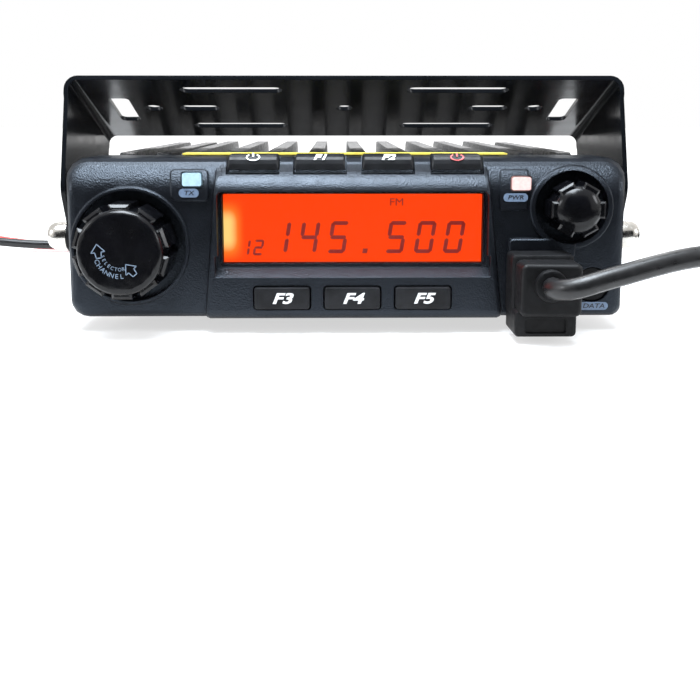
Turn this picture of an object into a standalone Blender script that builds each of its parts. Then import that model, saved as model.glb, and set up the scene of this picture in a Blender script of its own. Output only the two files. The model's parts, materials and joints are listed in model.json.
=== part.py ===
"""Mobile transceiver with its mounting bracket, DC lead and hand microphone.

Run it in Blender 4.5. Lengths in the tables below are millimetres. X runs to the right seen
from the front, "depth" is the distance behind the front panel's face, and heights start at
the surface that the radio stands on.
"""
import math

import bmesh
import bpy
from mathutils import Matrix, Vector

MM = 0.001
GAP = 0.3
PART_COLLECTION = "mobile_transceiver"
CUTTER_COLLECTION = "cutters"

# Overall
HALF_WIDTH = 70.0
ORIGIN_DEPTH = 72.5
PANEL_BOTTOM = 3.5
PANEL_X = (-70.7, 71.4)
PANEL_TOP = 44.5
WING_FACE = 2.5
BEZEL_FACE = -0.5
PANEL_BACK = 18.0
PANEL_CAVITY = 9.0

# Heat sink chassis
CHASSIS_FRONT = PANEL_BACK + GAP
CHASSIS_BACK = 131.0
CHASSIS_BOTTOM = 5.0
CHASSIS_TOP = 37.2
WALL = 2.5
FIN_TOP = 45.0
FIN_BACK = 145.0
WEB_HEIGHT = 22.0
FIN_ROOT = 5.8
FIN_TIP = 4.0
TOP_FINS = (48.8, 37.4, 26.6, 15.2, 3.7, -7.7, -19.2, -30.5, -42.0)
SHORT_FINS = (59.0, -48.6, -58.4)
LOWER_FINS = (48.8, 37.4, 26.6, -19.2, -30.5, -42.0)
COVER_BOTTOM = 4.7
COVER_TOP = 6.7

# Front panel openings
LCD_X = (-31.1, 34.8)
LCD_Z = (17.8, 35.2)
CHANNEL_KNOB_AT = (-54.7, 22.1)
CHANNEL_WELL_RADIUS = 14.2
CHANNEL_KNOB_RADIUS = 11.6
VOLUME_KNOB_AT = (57.3, 31.9)
VOLUME_WELL_RADIUS = 9.3
VOLUME_KNOB_RADIUS = 6.7
WELL_FLOOR = 6.0
LOWER_KEYS = {"key_f3": -16.1, "key_f4": 1.7, "key_f5": 19.6}
LOWER_KEY_SIZE = (14.1, 5.6)
LOWER_KEY_Z = 9.2
UPPER_KEYS = {"key_menu": -23.2, "key_f1": -6.4, "key_f2": 10.7, "key_power": 28.1}
UPPER_KEY_WIDTH = 12.8
UPPER_KEY_DEPTH = (1.8, 9.4)
UPPER_KEY_FOOT = 41.4
TX_LIGHT_AT = (-38.6, 39.0)
POWER_LIGHT_AT = (44.4, 37.9)
LIGHT_SIZE = (4.8, 3.3)
DATA_JACK_AT = (63.4, 11.9)
MIC_JACK_X = (42.6, 54.6)
MIC_CORD_AT = (48.6, 14.9)
MIC_JACK_Z = (7.6, 18.0)

# Bracket
PIVOT_DEPTH = 29.0
PIVOT_Z = 21.7
BRACKET_OUTSIDE = 73.25
BRACKET_SHEET = 1.15
BRACKET_HEIGHT = 37.6
BRACKET_DEPTH = 50.0
BRACKET_TILT = math.radians(18.0)
SIDE_WASHER = 3.2
SIDE_SCREW_HEAD = 5.6

# Rear fittings
ANTENNA_AT = (-55.3, 22.8)
SPEAKER_JACK_AT = (58.2, 31.0)
GLAND_X = (57.1, 66.5)
GLAND_Z = (7.4, 20.1)
GLAND_BACK = 139.0
LABEL_CENTRE = (3.7, 12.5)

# Cords: routes by hand, as (x, depth, height)
DC_WIRE_DIAMETER = 3.5
MIC_CORD_DIAMETER = 5.0
CURL_DIAMETER = 15.0
RED_ROUTE = (
    (61.8, 139.9, 15.9), (61.8, 145.0, 15.9), (66.5, 153.0, 15.0), (77.0, 160.5, 11.5),
    (89.0, 166.5, 6.0), (97.0, 173.5, 2.4), (98.0, 181.0, 1.9), (88.0, 187.3, 1.9),
    (66.0, 187.2, 1.9), (30.0, 181.0, 1.9), (-10.0, 174.6, 1.9), (-55.0, 168.5, 1.9),
    (-100.0, 164.5, 1.9), (-122.0, 163.8, 2.2), (-134.0, 163.9, 3.4), (-144.9, 164.0, 5.0),
)
BLACK_ROUTE = (
    (61.8, 139.9, 11.3), (61.8, 144.0, 11.3), (66.3, 149.6, 10.2), (75.4, 156.4, 6.8),
    (83.4, 162.6, 3.2), (88.2, 169.8, 1.9), (88.0, 176.6, 1.9), (81.0, 181.8, 1.9),
    (66.0, 182.6, 1.9), (30.0, 176.5, 1.9), (-10.0, 170.1, 1.9), (-55.0, 164.0, 2.5),
    (-100.0, 160.0, 2.9), (-122.0, 158.9, 3.1), (-134.0, 158.6, 3.9), (-144.9, 158.5, 5.0),
)
MIC_ROUTE = (
    (48.6, -19.4, 14.9), (48.6, -22.8, 14.9), (52.4, -26.4, 15.8), (61.5, -26.0, 18.4),
    (80.6, -22.4, 22.4), (98.0, -19.0, 22.2), (114.0, -15.8, 16.2), (128.0, -13.2, 9.6),
    (141.2, -12.0, 7.8),
)
CURL_ROUTE = (
    (142.0, -12.0, 7.8), (160.0, -12.3, 7.8), (195.0, -16.0, 7.8), (228.0, -6.0, 7.8),
    (246.0, 22.0, 7.8), (250.0, 60.0, 7.8), (246.0, 98.0, 7.8), (231.8, 126.6, 7.8),
)
TAIL_ROUTE = (
    (231.2, 127.6, 7.8), (222.0, 138.0, 8.6), (207.0, 143.6, 11.0), (193.0, 139.4, 13.6),
    (190.0, 133.6, 14.0), (190.0, 129.4, 14.0),
)

# Hand microphone, lying face up beside the radio
MIC_X = 190.0
MIC_DEPTH = (20.0, 112.0)
MIC_HALF_WIDTH = 28.0
MIC_SPLIT_Z = 16.0
MIC_TOP_Z = 27.0
RELIEF_Z = 14.0


# ---------------------------------------------------------------- helpers

def clear_scene():
    """Remove every object and collection that the file starts with."""
    for thing in list(bpy.data.objects):
        bpy.data.objects.remove(thing, do_unlink=True)
    for group in list(bpy.data.collections):
        bpy.data.collections.remove(group)


def place(x, depth, z):
    """World position of a point given as right, depth and height in millimetres."""
    return Vector((x * MM, (depth - ORIGIN_DEPTH) * MM, z * MM))


def material(name, colour, roughness, metallic=0.0, alpha=1.0):
    """Principled material, made once per name."""
    found = bpy.data.materials.get(name)
    if found:
        return found
    made = bpy.data.materials.new(name)
    made.use_nodes = True
    shader = made.node_tree.nodes["Principled BSDF"]
    shader.inputs["Base Color"].default_value = (*colour, 1.0)
    shader.inputs["Roughness"].default_value = roughness
    shader.inputs["Metallic"].default_value = metallic
    shader.inputs["Alpha"].default_value = alpha
    made.diffuse_color = (*colour, alpha)
    return made


def into(group, thing):
    """Link an object into one collection only."""
    for owner in list(thing.users_collection):
        owner.objects.unlink(thing)
    bpy.data.collections[group].objects.link(thing)


def mesh_object(name, shape, centre):
    """Object from a bmesh that was built around its own origin."""
    bmesh.ops.recalc_face_normals(shape, faces=shape.faces)
    data = bpy.data.meshes.new(name)
    shape.to_mesh(data)
    shape.free()
    thing = bpy.data.objects.new(name, data)
    thing.location = centre
    bpy.data.collections[CUTTER_COLLECTION].objects.link(thing)
    return thing


def box(name, x, depth, z):
    """Box between two limits along each axis."""
    shape = bmesh.new()
    bmesh.ops.create_cube(shape, size=1.0)
    size = ((x[1] - x[0]) * MM, (depth[1] - depth[0]) * MM, (z[1] - z[0]) * MM)
    bmesh.ops.scale(shape, vec=size, verts=shape.verts)
    middle = place((x[0] + x[1]) / 2, (depth[0] + depth[1]) / 2, (z[0] + z[1]) / 2)
    return mesh_object(name, shape, middle)


AXIS_TURN = {
    "X": Matrix.Rotation(math.radians(90.0), 3, "Y"),
    "Y": Matrix.Rotation(math.radians(90.0), 3, "X"),
    "Z": Matrix.Identity(3),
}


def cylinder(name, centre, radius, length, axis="Y", segments=32):
    """Cylinder centred on a point, along a world axis."""
    shape = bmesh.new()
    bmesh.ops.create_cone(
        shape,
        cap_ends=True,
        segments=segments,
        radius1=radius * MM,
        radius2=radius * MM,
        depth=length * MM,
    )
    bmesh.ops.rotate(shape, cent=(0, 0, 0), matrix=AXIS_TURN[axis], verts=shape.verts)
    return mesh_object(name, shape, place(*centre))


def lathe(name, centre, profile, direction, steps=32):
    """Turned solid: (radius, height) profile from its top down, its top towards direction."""
    data = bpy.data.meshes.new(name)
    points = [(radius * MM, 0.0, height * MM) for radius, height in profile]
    edges = [(i, i + 1) for i in range(len(points) - 1)]
    data.from_pydata(points, edges, [])
    thing = bpy.data.objects.new(name, data)
    bpy.data.collections[CUTTER_COLLECTION].objects.link(thing)
    turn = thing.modifiers.new("turn", "SCREW")
    turn.axis = "Z"
    turn.steps = steps
    turn.render_steps = steps
    turn.use_merge_vertices = True
    turn.merge_threshold = 0.00001
    thing.location = place(*centre)
    thing.rotation_euler = Vector(direction).to_track_quat("Z", "Y").to_euler()
    return thing


def rounded(corners, steps=3):
    """Closed outline from (across, up, radius) corners, each turned into an arc."""
    outline = []
    count = len(corners)
    for index, (across, up, radius) in enumerate(corners):
        here = Vector((across, up))
        if radius <= 0.0:
            outline.append(here)
            continue
        before = (Vector(corners[index - 1][:2]) - here).normalized()
        after = (Vector(corners[(index + 1) % count][:2]) - here).normalized()
        half = before.angle(after) / 2
        start = here + before * radius / math.tan(half)
        end = here + after * radius / math.tan(half)
        centre = here + (before + after).normalized() * radius / math.sin(half)
        for step in range(steps + 1):
            chord = start.lerp(end, step / steps) - centre
            outline.append(centre + chord.normalized() * radius)
    return outline


def rounded_box(across, up, radius):
    """Corners of a rectangle with one radius."""
    low, high = across
    bottom, top = up
    return rounded([(low, bottom, radius), (high, bottom, radius),
                    (high, top, radius), (low, top, radius)])


def slab(name, outlines, near, far, plane="XZ"):
    """Flat outline, with holes, made thick between two positions across its plane."""
    data = bpy.data.curves.new(name, "CURVE")
    data.dimensions = "2D"
    data.fill_mode = "BOTH"
    data.extrude = (far - near) / 2 * MM
    for outline in outlines:
        spline = data.splines.new("POLY")
        spline.points.add(len(outline) - 1)
        for point, (across, up) in zip(spline.points, outline):
            point.co = (across * MM, up * MM, 0.0, 1.0)
        spline.use_cyclic_u = True
    flat = bpy.data.objects.new(name, data)
    bpy.data.collections[CUTTER_COLLECTION].objects.link(flat)
    middle = (near + far) / 2
    if plane == "XZ":
        turn = Matrix(((1, 0, 0), (0, 0, -1), (0, 1, 0)))
        centre = place(0.0, middle, 0.0)
    elif plane == "YZ":
        turn = Matrix(((0, 0, 1), (1, 0, 0), (0, 1, 0)))
        centre = place(middle, 0.0, 0.0)
    else:
        turn = Matrix.Identity(3)
        centre = place(0.0, 0.0, middle)
    flat.matrix_world = Matrix.Translation(centre) @ turn.to_4x4()
    return solid_from_curve(flat)


def solid_from_curve(source):
    """Swap a curve object for a welded mesh object of the same name and place."""
    name = source.name
    bpy.context.view_layer.update()
    evaluated = source.evaluated_get(bpy.context.evaluated_depsgraph_get())
    data = bpy.data.meshes.new_from_object(evaluated)
    shape = bmesh.new()
    shape.from_mesh(data)
    bmesh.ops.remove_doubles(shape, verts=shape.verts, dist=0.000001)
    bmesh.ops.dissolve_limit(
        shape, angle_limit=0.01, verts=shape.verts, edges=shape.edges
    )
    bmesh.ops.transform(shape, matrix=source.matrix_world, verts=shape.verts)
    bmesh.ops.recalc_face_normals(shape, faces=shape.faces)
    shape.to_mesh(data)
    shape.free()
    bpy.data.objects.remove(source, do_unlink=True)
    solid = bpy.data.objects.new(name, data)
    bpy.data.collections[CUTTER_COLLECTION].objects.link(solid)
    return solid


def joined(name, pieces):
    """One object from several solids that stand clear of each other."""
    bpy.context.view_layer.update()
    graph = bpy.context.evaluated_depsgraph_get()
    shape = bmesh.new()
    for piece in pieces:
        data = bpy.data.meshes.new_from_object(piece.evaluated_get(graph))
        data.transform(piece.matrix_world)
        shape.from_mesh(data)
        bpy.data.meshes.remove(data)
        bpy.data.objects.remove(piece, do_unlink=True)
    return mesh_object(name, shape, (0.0, 0.0, 0.0))


def combine(target, tools, operation):
    """Add one Boolean with other solids, which go to a hidden collection of their own."""
    label = f"{target.name}_{operation.lower()}"
    group = bpy.data.collections.new(label)
    bpy.data.collections[CUTTER_COLLECTION].children.link(group)
    for tool in tools:
        into(group.name, tool)
        tool.hide_render = True
        tool.display_type = "WIRE"
    step = target.modifiers.new(operation.lower(), "BOOLEAN")
    step.operation = operation
    step.solver = "EXACT"
    step.operand_type = "COLLECTION"
    step.collection = group
    step.show_viewport = False
    return target


def switch_on_booleans():
    """Booleans wait until every part is made, so that each is worked out only once."""
    for thing in bpy.data.objects:
        for step in thing.modifiers:
            step.show_viewport = True


def cut(target, *tools):
    """Take solids away from a target."""
    return combine(target, tools, "DIFFERENCE")


def fuse(target, *tools):
    """Join solids to a target."""
    return combine(target, tools, "UNION")


def bevel(target, width, segments=2, angle=40.0):
    """Round every sharp edge of a target."""
    step = target.modifiers.new("round", "BEVEL")
    step.width = width * MM
    step.segments = segments
    step.limit_method = "ANGLE"
    step.angle_limit = math.radians(angle)
    step.use_clamp_overlap = True
    return target


def round_edges(target, width, segments, chosen):
    """Round the edges whose two ends both pass a test on world position, in millimetres."""
    bpy.context.view_layer.update()
    moved = target.matrix_world
    shape = bmesh.new()
    shape.from_mesh(target.data)
    edges = []
    for edge in shape.edges:
        ends = [moved @ vertex.co for vertex in edge.verts]
        if all(chosen(end.x / MM, end.y / MM + ORIGIN_DEPTH, end.z / MM) for end in ends):
            if edge.calc_face_angle(0.0) > math.radians(20.0):
                edges.append(edge)
    bmesh.ops.bevel(
        shape, geom=edges, offset=width * MM, segments=segments, profile=0.5, affect="EDGES"
    )
    bmesh.ops.triangulate(shape, faces=shape.faces)
    shape.to_mesh(target.data)
    shape.free()
    return target


def finish(target, look, smooth=True):
    """Give a solid its material, smooth shading and its place among the parts."""
    target.data.materials.clear()
    target.data.materials.append(look)
    if smooth and target.type == "MESH":
        for face in target.data.polygons:
            face.use_smooth = True
    target.hide_render = False
    target.display_type = "TEXTURED"
    into(PART_COLLECTION, target)
    return target


def smooth_path(route, spacing):
    """Points at an even spacing along a smooth curve through a route's own points."""
    nodes = [place(*point) for point in route]
    nodes = [nodes[0] * 2 - nodes[1]] + nodes + [nodes[-1] * 2 - nodes[-2]]
    dense = []
    for index in range(1, len(nodes) - 2):
        p0, p1, p2, p3 = nodes[index - 1:index + 3]
        for step in range(40):
            t = step / 40
            pull = (p2 - p0) * t
            bend = (p0 * 2 - p1 * 5 + p2 * 4 - p3) * t ** 2
            twist = (p1 * 3 - p0 - p2 * 3 + p3) * t ** 3
            dense.append((p1 * 2 + pull + bend + twist) / 2)
    dense.append(nodes[-2])
    travelled = [0.0]
    for here, there in zip(dense, dense[1:]):
        travelled.append(travelled[-1] + (there - here).length)
    count = max(2, round(travelled[-1] / (spacing * MM)))
    points = []
    index = 0
    for step in range(count + 1):
        goal = travelled[-1] * step / count
        while index < len(dense) - 2 and travelled[index + 1] < goal:
            index += 1
        stretch = travelled[index + 1] - travelled[index]
        share = (goal - travelled[index]) / stretch
        points.append(dense[index].lerp(dense[index + 1], share))
    return points


def tube(name, route, diameter, spacing, resolution, look):
    """Round cord along a route, with closed ends."""
    points = smooth_path(route, spacing)
    data = bpy.data.curves.new(name, "CURVE")
    data.dimensions = "3D"
    data.bevel_depth = diameter / 2 * MM
    data.bevel_resolution = resolution
    data.use_fill_caps = True
    spline = data.splines.new("POLY")
    spline.points.add(len(points) - 1)
    for point, where in zip(spline.points, points):
        point.co = (*where, 1.0)
    spline.use_smooth = True
    cord = bpy.data.objects.new(name, data)
    bpy.data.collections[PART_COLLECTION].objects.link(cord)
    data.materials.append(look)
    return cord


# ---------------------------------------------------------------- materials

DIE_CAST = ("black_powder_coat", (0.018, 0.018, 0.020), 0.55, 0.3)
PANEL_PLASTIC = ("black_textured_plastic", (0.020, 0.021, 0.026), 0.45, 0.0)
KNOB_PLASTIC = ("black_knob_plastic", (0.012, 0.012, 0.014), 0.35, 0.0)
KEY_RUBBER = ("charcoal_key_rubber", (0.030, 0.031, 0.034), 0.55, 0.0)
BRACKET_STEEL = ("black_painted_steel", (0.014, 0.015, 0.018), 0.30, 0.4)
NICKEL = ("nickel_plated_steel", (0.72, 0.70, 0.66), 0.25, 1.0)
COPPER_FLANGE = ("copper_plating", (0.72, 0.45, 0.33), 0.35, 1.0)
RED_RESIN = ("dark_red_resin", (0.30, 0.02, 0.03), 0.45, 0.0)
PALE_GOLD = ("pale_gold_plating", (0.83, 0.70, 0.48), 0.30, 1.0)
SOFT_RUBBER = ("black_soft_rubber", (0.020, 0.020, 0.021), 0.65, 0.0)
GREEN_LAMINATE = ("green_circuit_laminate", (0.02, 0.16, 0.07), 0.50, 0.0)
TIN_PLATE = ("tin_plate", (0.62, 0.63, 0.64), 0.35, 1.0)
RED_WIRE = ("red_wire_jacket", (0.72, 0.02, 0.02), 0.40, 0.0)
BLACK_WIRE = ("black_wire_jacket", (0.015, 0.015, 0.016), 0.40, 0.0)


# ---------------------------------------------------------------- chassis

def fin(name, centre_x, outline, root_z, tip_z):
    """Cooling fin: a side outline made thick, thinner towards its tip."""
    plate = slab(name, [outline], -1.0, 1.0, "YZ")
    root = FIN_ROOT / 2
    tip = FIN_TIP / 2
    for vertex in plate.data.vertices:
        share = (vertex.co.z / MM - root_z) / (tip_z - root_z)
        half = root + (tip - root) * share
        side = 1.0 if vertex.co.x > 0.0 else -1.0
        vertex.co.x = (centre_x + side * half) * MM
    return plate


def cooling_fins():
    """All fins of the chassis as one tool; they stand clear of each other."""
    front = CHASSIS_FRONT + 2.0
    embed_z = CHASSIS_TOP - 1.2
    embed_depth = CHASSIS_BACK - 1.2

    upper = rounded([
        (front, embed_z, 0.0), (front, FIN_TOP, 2.5), (FIN_BACK, FIN_TOP, 2.5),
        (FIN_BACK, WEB_HEIGHT, 0.0), (embed_depth, WEB_HEIGHT, 0.0), (embed_depth, embed_z, 0.0),
    ], 3)
    short = rounded([
        (front, embed_z, 0.0), (front, FIN_TOP, 2.5), (CHASSIS_BACK - 0.4, FIN_TOP, 2.5),
        (CHASSIS_BACK - 0.4, embed_z, 0.0),
    ], 3)
    lower = rounded([
        (embed_depth, 0.0, 0.0), (FIN_BACK, 0.0, 2.0), (FIN_BACK, WEB_HEIGHT - 0.2, 0.0),
        (embed_depth, WEB_HEIGHT - 0.2, 0.0),
    ], 3)
    fins = [fin("fin", x, upper, WEB_HEIGHT, FIN_TOP) for x in TOP_FINS]
    fins += [fin("fin", x, short, WEB_HEIGHT, FIN_TOP) for x in SHORT_FINS]
    feet = [fin("foot", x, lower, WEB_HEIGHT, 0.0) for x in LOWER_FINS]
    return joined("tool_fins", fins), joined("tool_feet", feet)


def heat_sink_chassis():
    """Die-cast hood with cooling fins; open in front and below."""
    low, high = CHASSIS_BOTTOM, CHASSIS_TOP
    outline = rounded([
        (-HALF_WIDTH + 1.2, low, 2.5), (HALF_WIDTH - 1.2, low, 2.5),
        (HALF_WIDTH, high, 5.0), (-HALF_WIDTH, high, 5.0),
    ])
    chassis = slab("heat_sink_chassis", [outline], CHASSIS_FRONT, CHASSIS_BACK)
    inner = box(
        "cut_chassis_cavity",
        (-HALF_WIDTH + WALL + 1.3, HALF_WIDTH - WALL - 1.3),
        (CHASSIS_FRONT - 5.0, CHASSIS_BACK - WALL),
        (low - 5.0, high - WALL),
    )
    cut(chassis, inner)
    posts = []
    for side in (-1.0, 1.0):
        for near, far in ((CHASSIS_FRONT + 0.6, 25.6), (119.8, CHASSIS_BACK - WALL + 1.0)):
            across = sorted((side * 58.6, side * 67.5))
            posts.append(box("post", across, (near, far), (COVER_TOP + GAP, high - WALL + 1.0)))
        across = sorted((side * (HALF_WIDTH - 2.0), side * (HALF_WIDTH + 1.75)))
        middle = sum(across) / 2
        posts.append(
            cylinder("boss", (middle, PIVOT_DEPTH, PIVOT_Z), 6.0, across[1] - across[0], "X", 24)
        )
    fuse(chassis, joined("tool_posts", posts))
    fins, feet = cooling_fins()
    fuse(chassis, fins, feet)
    web = box("tool_web", (-44.5, 51.2), (CHASSIS_BACK - 1.0, FIN_BACK - 1.6), (20.0, 24.4))
    centre_web = box("tool_centre_web", (-20.5, 28.0), (CHASSIS_BACK - 0.8, FIN_BACK - 1.0),
                     (21.4, 26.0))
    fuse(chassis, web, centre_web)
    tower = box("tool_antenna_tower", (-64.5, -46.4), (CHASSIS_BACK - 5.0, CHASSIS_BACK - 0.2),
                (30.0, 41.0))
    boss = cylinder("tool_screw_boss", (3.7, FIN_BACK - 5.6, 28.3), 4.2, 10.0, "Y", 24)
    fuse(chassis, tower, boss)
    cuts = [
        cylinder("cut_boss_hole", (3.7, FIN_BACK - 2.0, 28.3), 1.9, 9.0, "Y", 16),
        cylinder("cut_antenna", (ANTENNA_AT[0], CHASSIS_BACK, ANTENNA_AT[1]), 6.4, 12.0),
        cylinder("cut_speaker", (SPEAKER_JACK_AT[0], CHASSIS_BACK - 3.0, SPEAKER_JACK_AT[1]), 4.8, 20.0),
        box("cut_gland", (GLAND_X[0] - GAP, GLAND_X[1] + GAP), (125.7, 135.0),
            (GLAND_Z[0] - GAP, GLAND_Z[1] + GAP)),
        cylinder("cut_pivots", (0.0, PIVOT_DEPTH, PIVOT_Z), 2.5, 2 * HALF_WIDTH + 20.0, "X", 16),
    ]
    for side in (-1.0, 1.0):
        z = ANTENNA_AT[1] + side * 12.95
        cuts.append(cylinder("cut_flange_screw", (ANTENNA_AT[0], CHASSIS_BACK, z), 1.7, 10.0,
                             "Y", 16))
    for x, depth in cover_screw_places():
        cuts.append(cylinder("cut_cover_screw", (x, depth, 10.0), 1.7, 12.0, "Z", 16))
    cut(chassis, *cuts)
    return finish(chassis, material(*DIE_CAST))


def cover_screw_places():
    """The four corners where the bottom cover is screwed on."""
    return [(x, depth) for x in (-62.0, 62.0) for depth in (22.2, 123.6)]


def bottom_cover():
    """Finned lid under the chassis, which the radio stands on."""
    half = HALF_WIDTH - WALL - 1.3 - GAP
    back = CHASSIS_BACK - WALL - GAP
    cover = box("bottom_cover", (-half, half), (CHASSIS_FRONT + GAP, back),
                (COVER_BOTTOM, COVER_TOP))
    ribs = []
    for x in LOWER_FINS:
        ribs.append(box("rib", (x - 2.0, x + 2.0), (34.0, back - 0.5), (0.0, COVER_TOP - 0.8)))
    fuse(cover, joined("tool_ribs", ribs))
    fuse(cover, box("tool_standing_bar", (-43.0, 49.0), (ORIGIN_DEPTH - 4.0, ORIGIN_DEPTH + 4.0),
                    (0.0, COVER_TOP - 1.0)))
    cuts = []
    for x, depth in cover_screw_places():
        cuts.append(cylinder("cut_hole", (x, depth, 5.0), 1.8, 6.0, "Z", 16))
    for row in range(5):
        x = -13.0 + row * 6.4
        cuts.append(box("cut_slot", (x - 1.1, x + 1.1), (40.0, 63.0), (2.0, 9.0)))
    cut(cover, joined("cut_cover_holes", cuts))
    return finish(cover, material(*DIE_CAST))


def cover_screws():
    """Four pan-head screws through the bottom cover."""
    for number, (x, depth) in enumerate(cover_screw_places(), 1):
        profile = [(0.0, 0.0), (2.2, 0.0), (2.9, 0.5), (2.9, 1.5), (1.4, 1.5), (1.4, 8.0), (0.0, 8.0)]
        screw = lathe(f"cover_screw_{number}", (x, depth, COVER_BOTTOM - 1.5 - GAP),
                      [(r, -z) for r, z in profile], (0, 0, -1), 12)
        finish(screw, material(*NICKEL))


# ---------------------------------------------------------------- front panel

def bezel_block():
    """Raised centre of the front panel: rounded shoulder above, wider below."""
    profile = rounded([
        (14.0, PANEL_BOTTOM, 0.0),
        (BEZEL_FACE, PANEL_BOTTOM, 2.5),
        (BEZEL_FACE, PANEL_TOP, 8.0),
        (14.0, PANEL_TOP, 0.0),
    ], 5)
    block = slab("tool_bezel", [profile], -1.0, 1.0, "YZ")
    for vertex in block.data.vertices:
        share = (PANEL_TOP - vertex.co.z / MM) / (PANEL_TOP - PANEL_BOTTOM)
        if vertex.co.x > 0.0:
            vertex.co.x = (35.6 + 4.5 * share) * MM
        else:
            vertex.co.x = (-32.4 - 3.5 * share) * MM
    return bevel(block, 1.3, 2, 60.0)


def front_panel():
    """Moulded front: wings with round wells, raised centre, pockets for keys and display."""
    outline = rounded([
        (PANEL_X[0], PANEL_BOTTOM, 4.5), (PANEL_X[1], PANEL_BOTTOM, 2.8),
        (PANEL_X[1], PANEL_TOP, 6.0), (PANEL_X[0], PANEL_TOP, 6.0),
    ], 4)
    panel = slab("front_panel", [outline], WING_FACE, PANEL_BACK)
    round_edges(panel, 2.3, 3, lambda x, depth, z: depth < WING_FACE + 0.1)
    pads = [
        slab("tool_pad", [rounded_box((-44.1, -34.4), (33.5, 41.6), 1.2)], WING_FACE - 0.7, 8.0),
        slab("tool_pad", [rounded_box((38.9, 46.2), (31.1, 41.5), 0.8)], WING_FACE - 0.7, 8.0),
    ]
    rims = [
        cylinder("tool_channel_rim", (CHANNEL_KNOB_AT[0], 4.4, CHANNEL_KNOB_AT[1]),
                 CHANNEL_WELL_RADIUS + 1.0, 5.0, "Y", 40),
        cylinder("tool_volume_rim", (VOLUME_KNOB_AT[0], 4.2, VOLUME_KNOB_AT[1]),
                 VOLUME_WELL_RADIUS + 1.4, 5.4, "Y", 32),
    ]
    hood = slab("tool_mic_hood", [rounded_box((41.4, 58.4), (19.0, 24.0), 1.2)],
                WING_FACE - 1.9, 8.0)
    for piece in pads + rims + [hood]:
        round_edges(piece, 0.35, 1, lambda x, depth, z: depth < WING_FACE)
    fuse(panel, bezel_block(), *pads, *rims, hood)
    cavities = [
        box("cut_cavity", (-HALF_WIDTH + 2.2, HALF_WIDTH - 2.2),
            (PANEL_CAVITY, PANEL_BACK + 5.0), (PANEL_BOTTOM + 2.0, 35.9)),
        box("cut_cavity", (-34.0, 40.0), (11.0, PANEL_BACK + 4.0), (30.0, 42.6)),
        box("cut_cavity", (-HALF_WIDTH + 6.0, HALF_WIDTH - 6.0),
            (PANEL_CAVITY + 2.5, PANEL_BACK + 3.0), (31.0, 41.6)),
    ]
    cut(panel, *cavities, *display_pocket(), *knob_wells(), *key_pockets(), *panel_holes())
    return finish(panel, material(*PANEL_PLASTIC))


def display_pocket():
    """Recess and window opening, with the sloped lip under the display."""
    pocket = slab("cut_display_pocket",
                  [rounded_box((LCD_X[0] - 1.2, LCD_X[1] + 1.2), (LCD_Z[0] - 1.2, LCD_Z[1] + 0.9),
                               1.4)], -6.0, 3.3)
    window = slab("cut_display_window",
                  [rounded_box((LCD_X[0] - 0.2, LCD_X[1] + 0.2), (LCD_Z[0] - 0.2, LCD_Z[1] + 0.2),
                               0.6)], 2.0, 12.0)
    lip = slab("cut_display_lip",
               [[(-6.0, LCD_Z[0] + 2.0), (2.4, LCD_Z[0] + 2.0),
                 (2.4, LCD_Z[0] - 1.4), (-0.4, LCD_Z[0] - 3.4),
                 (-6.0, LCD_Z[0] - 3.6)]],
               LCD_X[0] - 1.9, LCD_X[1] + 1.9, "YZ")
    return pocket, window, lip


def knob_wells():
    """Round wells for both knobs with the holes for their shafts."""
    tools = []
    for label, (x, z), radius, hole, sides in (
        ("channel", CHANNEL_KNOB_AT, CHANNEL_WELL_RADIUS, 4.0, 40),
        ("volume", VOLUME_KNOB_AT, VOLUME_WELL_RADIUS, 3.4, 32),
    ):
        depth = WELL_FLOOR / 2 - 3.0
        tools.append(cylinder(f"cut_{label}_well", (x, depth, z), radius, WELL_FLOOR + 6.0,
                              "Y", sides))
        tools.append(cylinder(f"cut_{label}_bush", (x, 8.0, z), hole, 8.0, "Y", 16))
    return tools


def key_pockets():
    """Openings that the seven keys slide in."""
    width, height = LOWER_KEY_SIZE
    tools = []
    for x in LOWER_KEYS.values():
        outline = rounded_box((x - width / 2 - GAP, x + width / 2 + GAP),
                              (LOWER_KEY_Z - height / 2 - GAP, LOWER_KEY_Z + height / 2 + GAP), 0.9)
        tools.append(slab("pocket", [outline], -6.0, PANEL_CAVITY + 1.0))
    near, far = UPPER_KEY_DEPTH
    half = UPPER_KEY_WIDTH / 2 + GAP
    for x in UPPER_KEYS.values():
        outline = [(x - half, near - 6.0), (x + half, near - 6.0),
                   (x + half, far + GAP), (x - half, far + GAP)]
        tools.append(slab("pocket", [outline], UPPER_KEY_FOOT - 1.1, PANEL_TOP + 6.0, "XY"))
    return tools


def panel_holes():
    """Holes for the light pipes, the microphone socket and the data socket."""
    tools = []
    for x, z in (TX_LIGHT_AT, POWER_LIGHT_AT):
        outline = rounded_box((x - LIGHT_SIZE[0] / 2 - GAP, x + LIGHT_SIZE[0] / 2 + GAP),
                              (z - LIGHT_SIZE[1] / 2 - GAP, z + LIGHT_SIZE[1] / 2 + GAP), 0.6)
        tools.append(slab("hole", [outline], -4.0, PANEL_CAVITY + 4.0))
    tools.append(box("hole", (MIC_JACK_X[0] - GAP, MIC_JACK_X[1] + GAP),
                     (-4.0, PANEL_CAVITY + 2.0), (MIC_JACK_Z[0] - GAP, MIC_JACK_Z[1] + GAP)))
    tools.append(cylinder("hole", (DATA_JACK_AT[0], 5.0, DATA_JACK_AT[1]), 4.6, 14.0, "Y", 20))
    return tools


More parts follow.
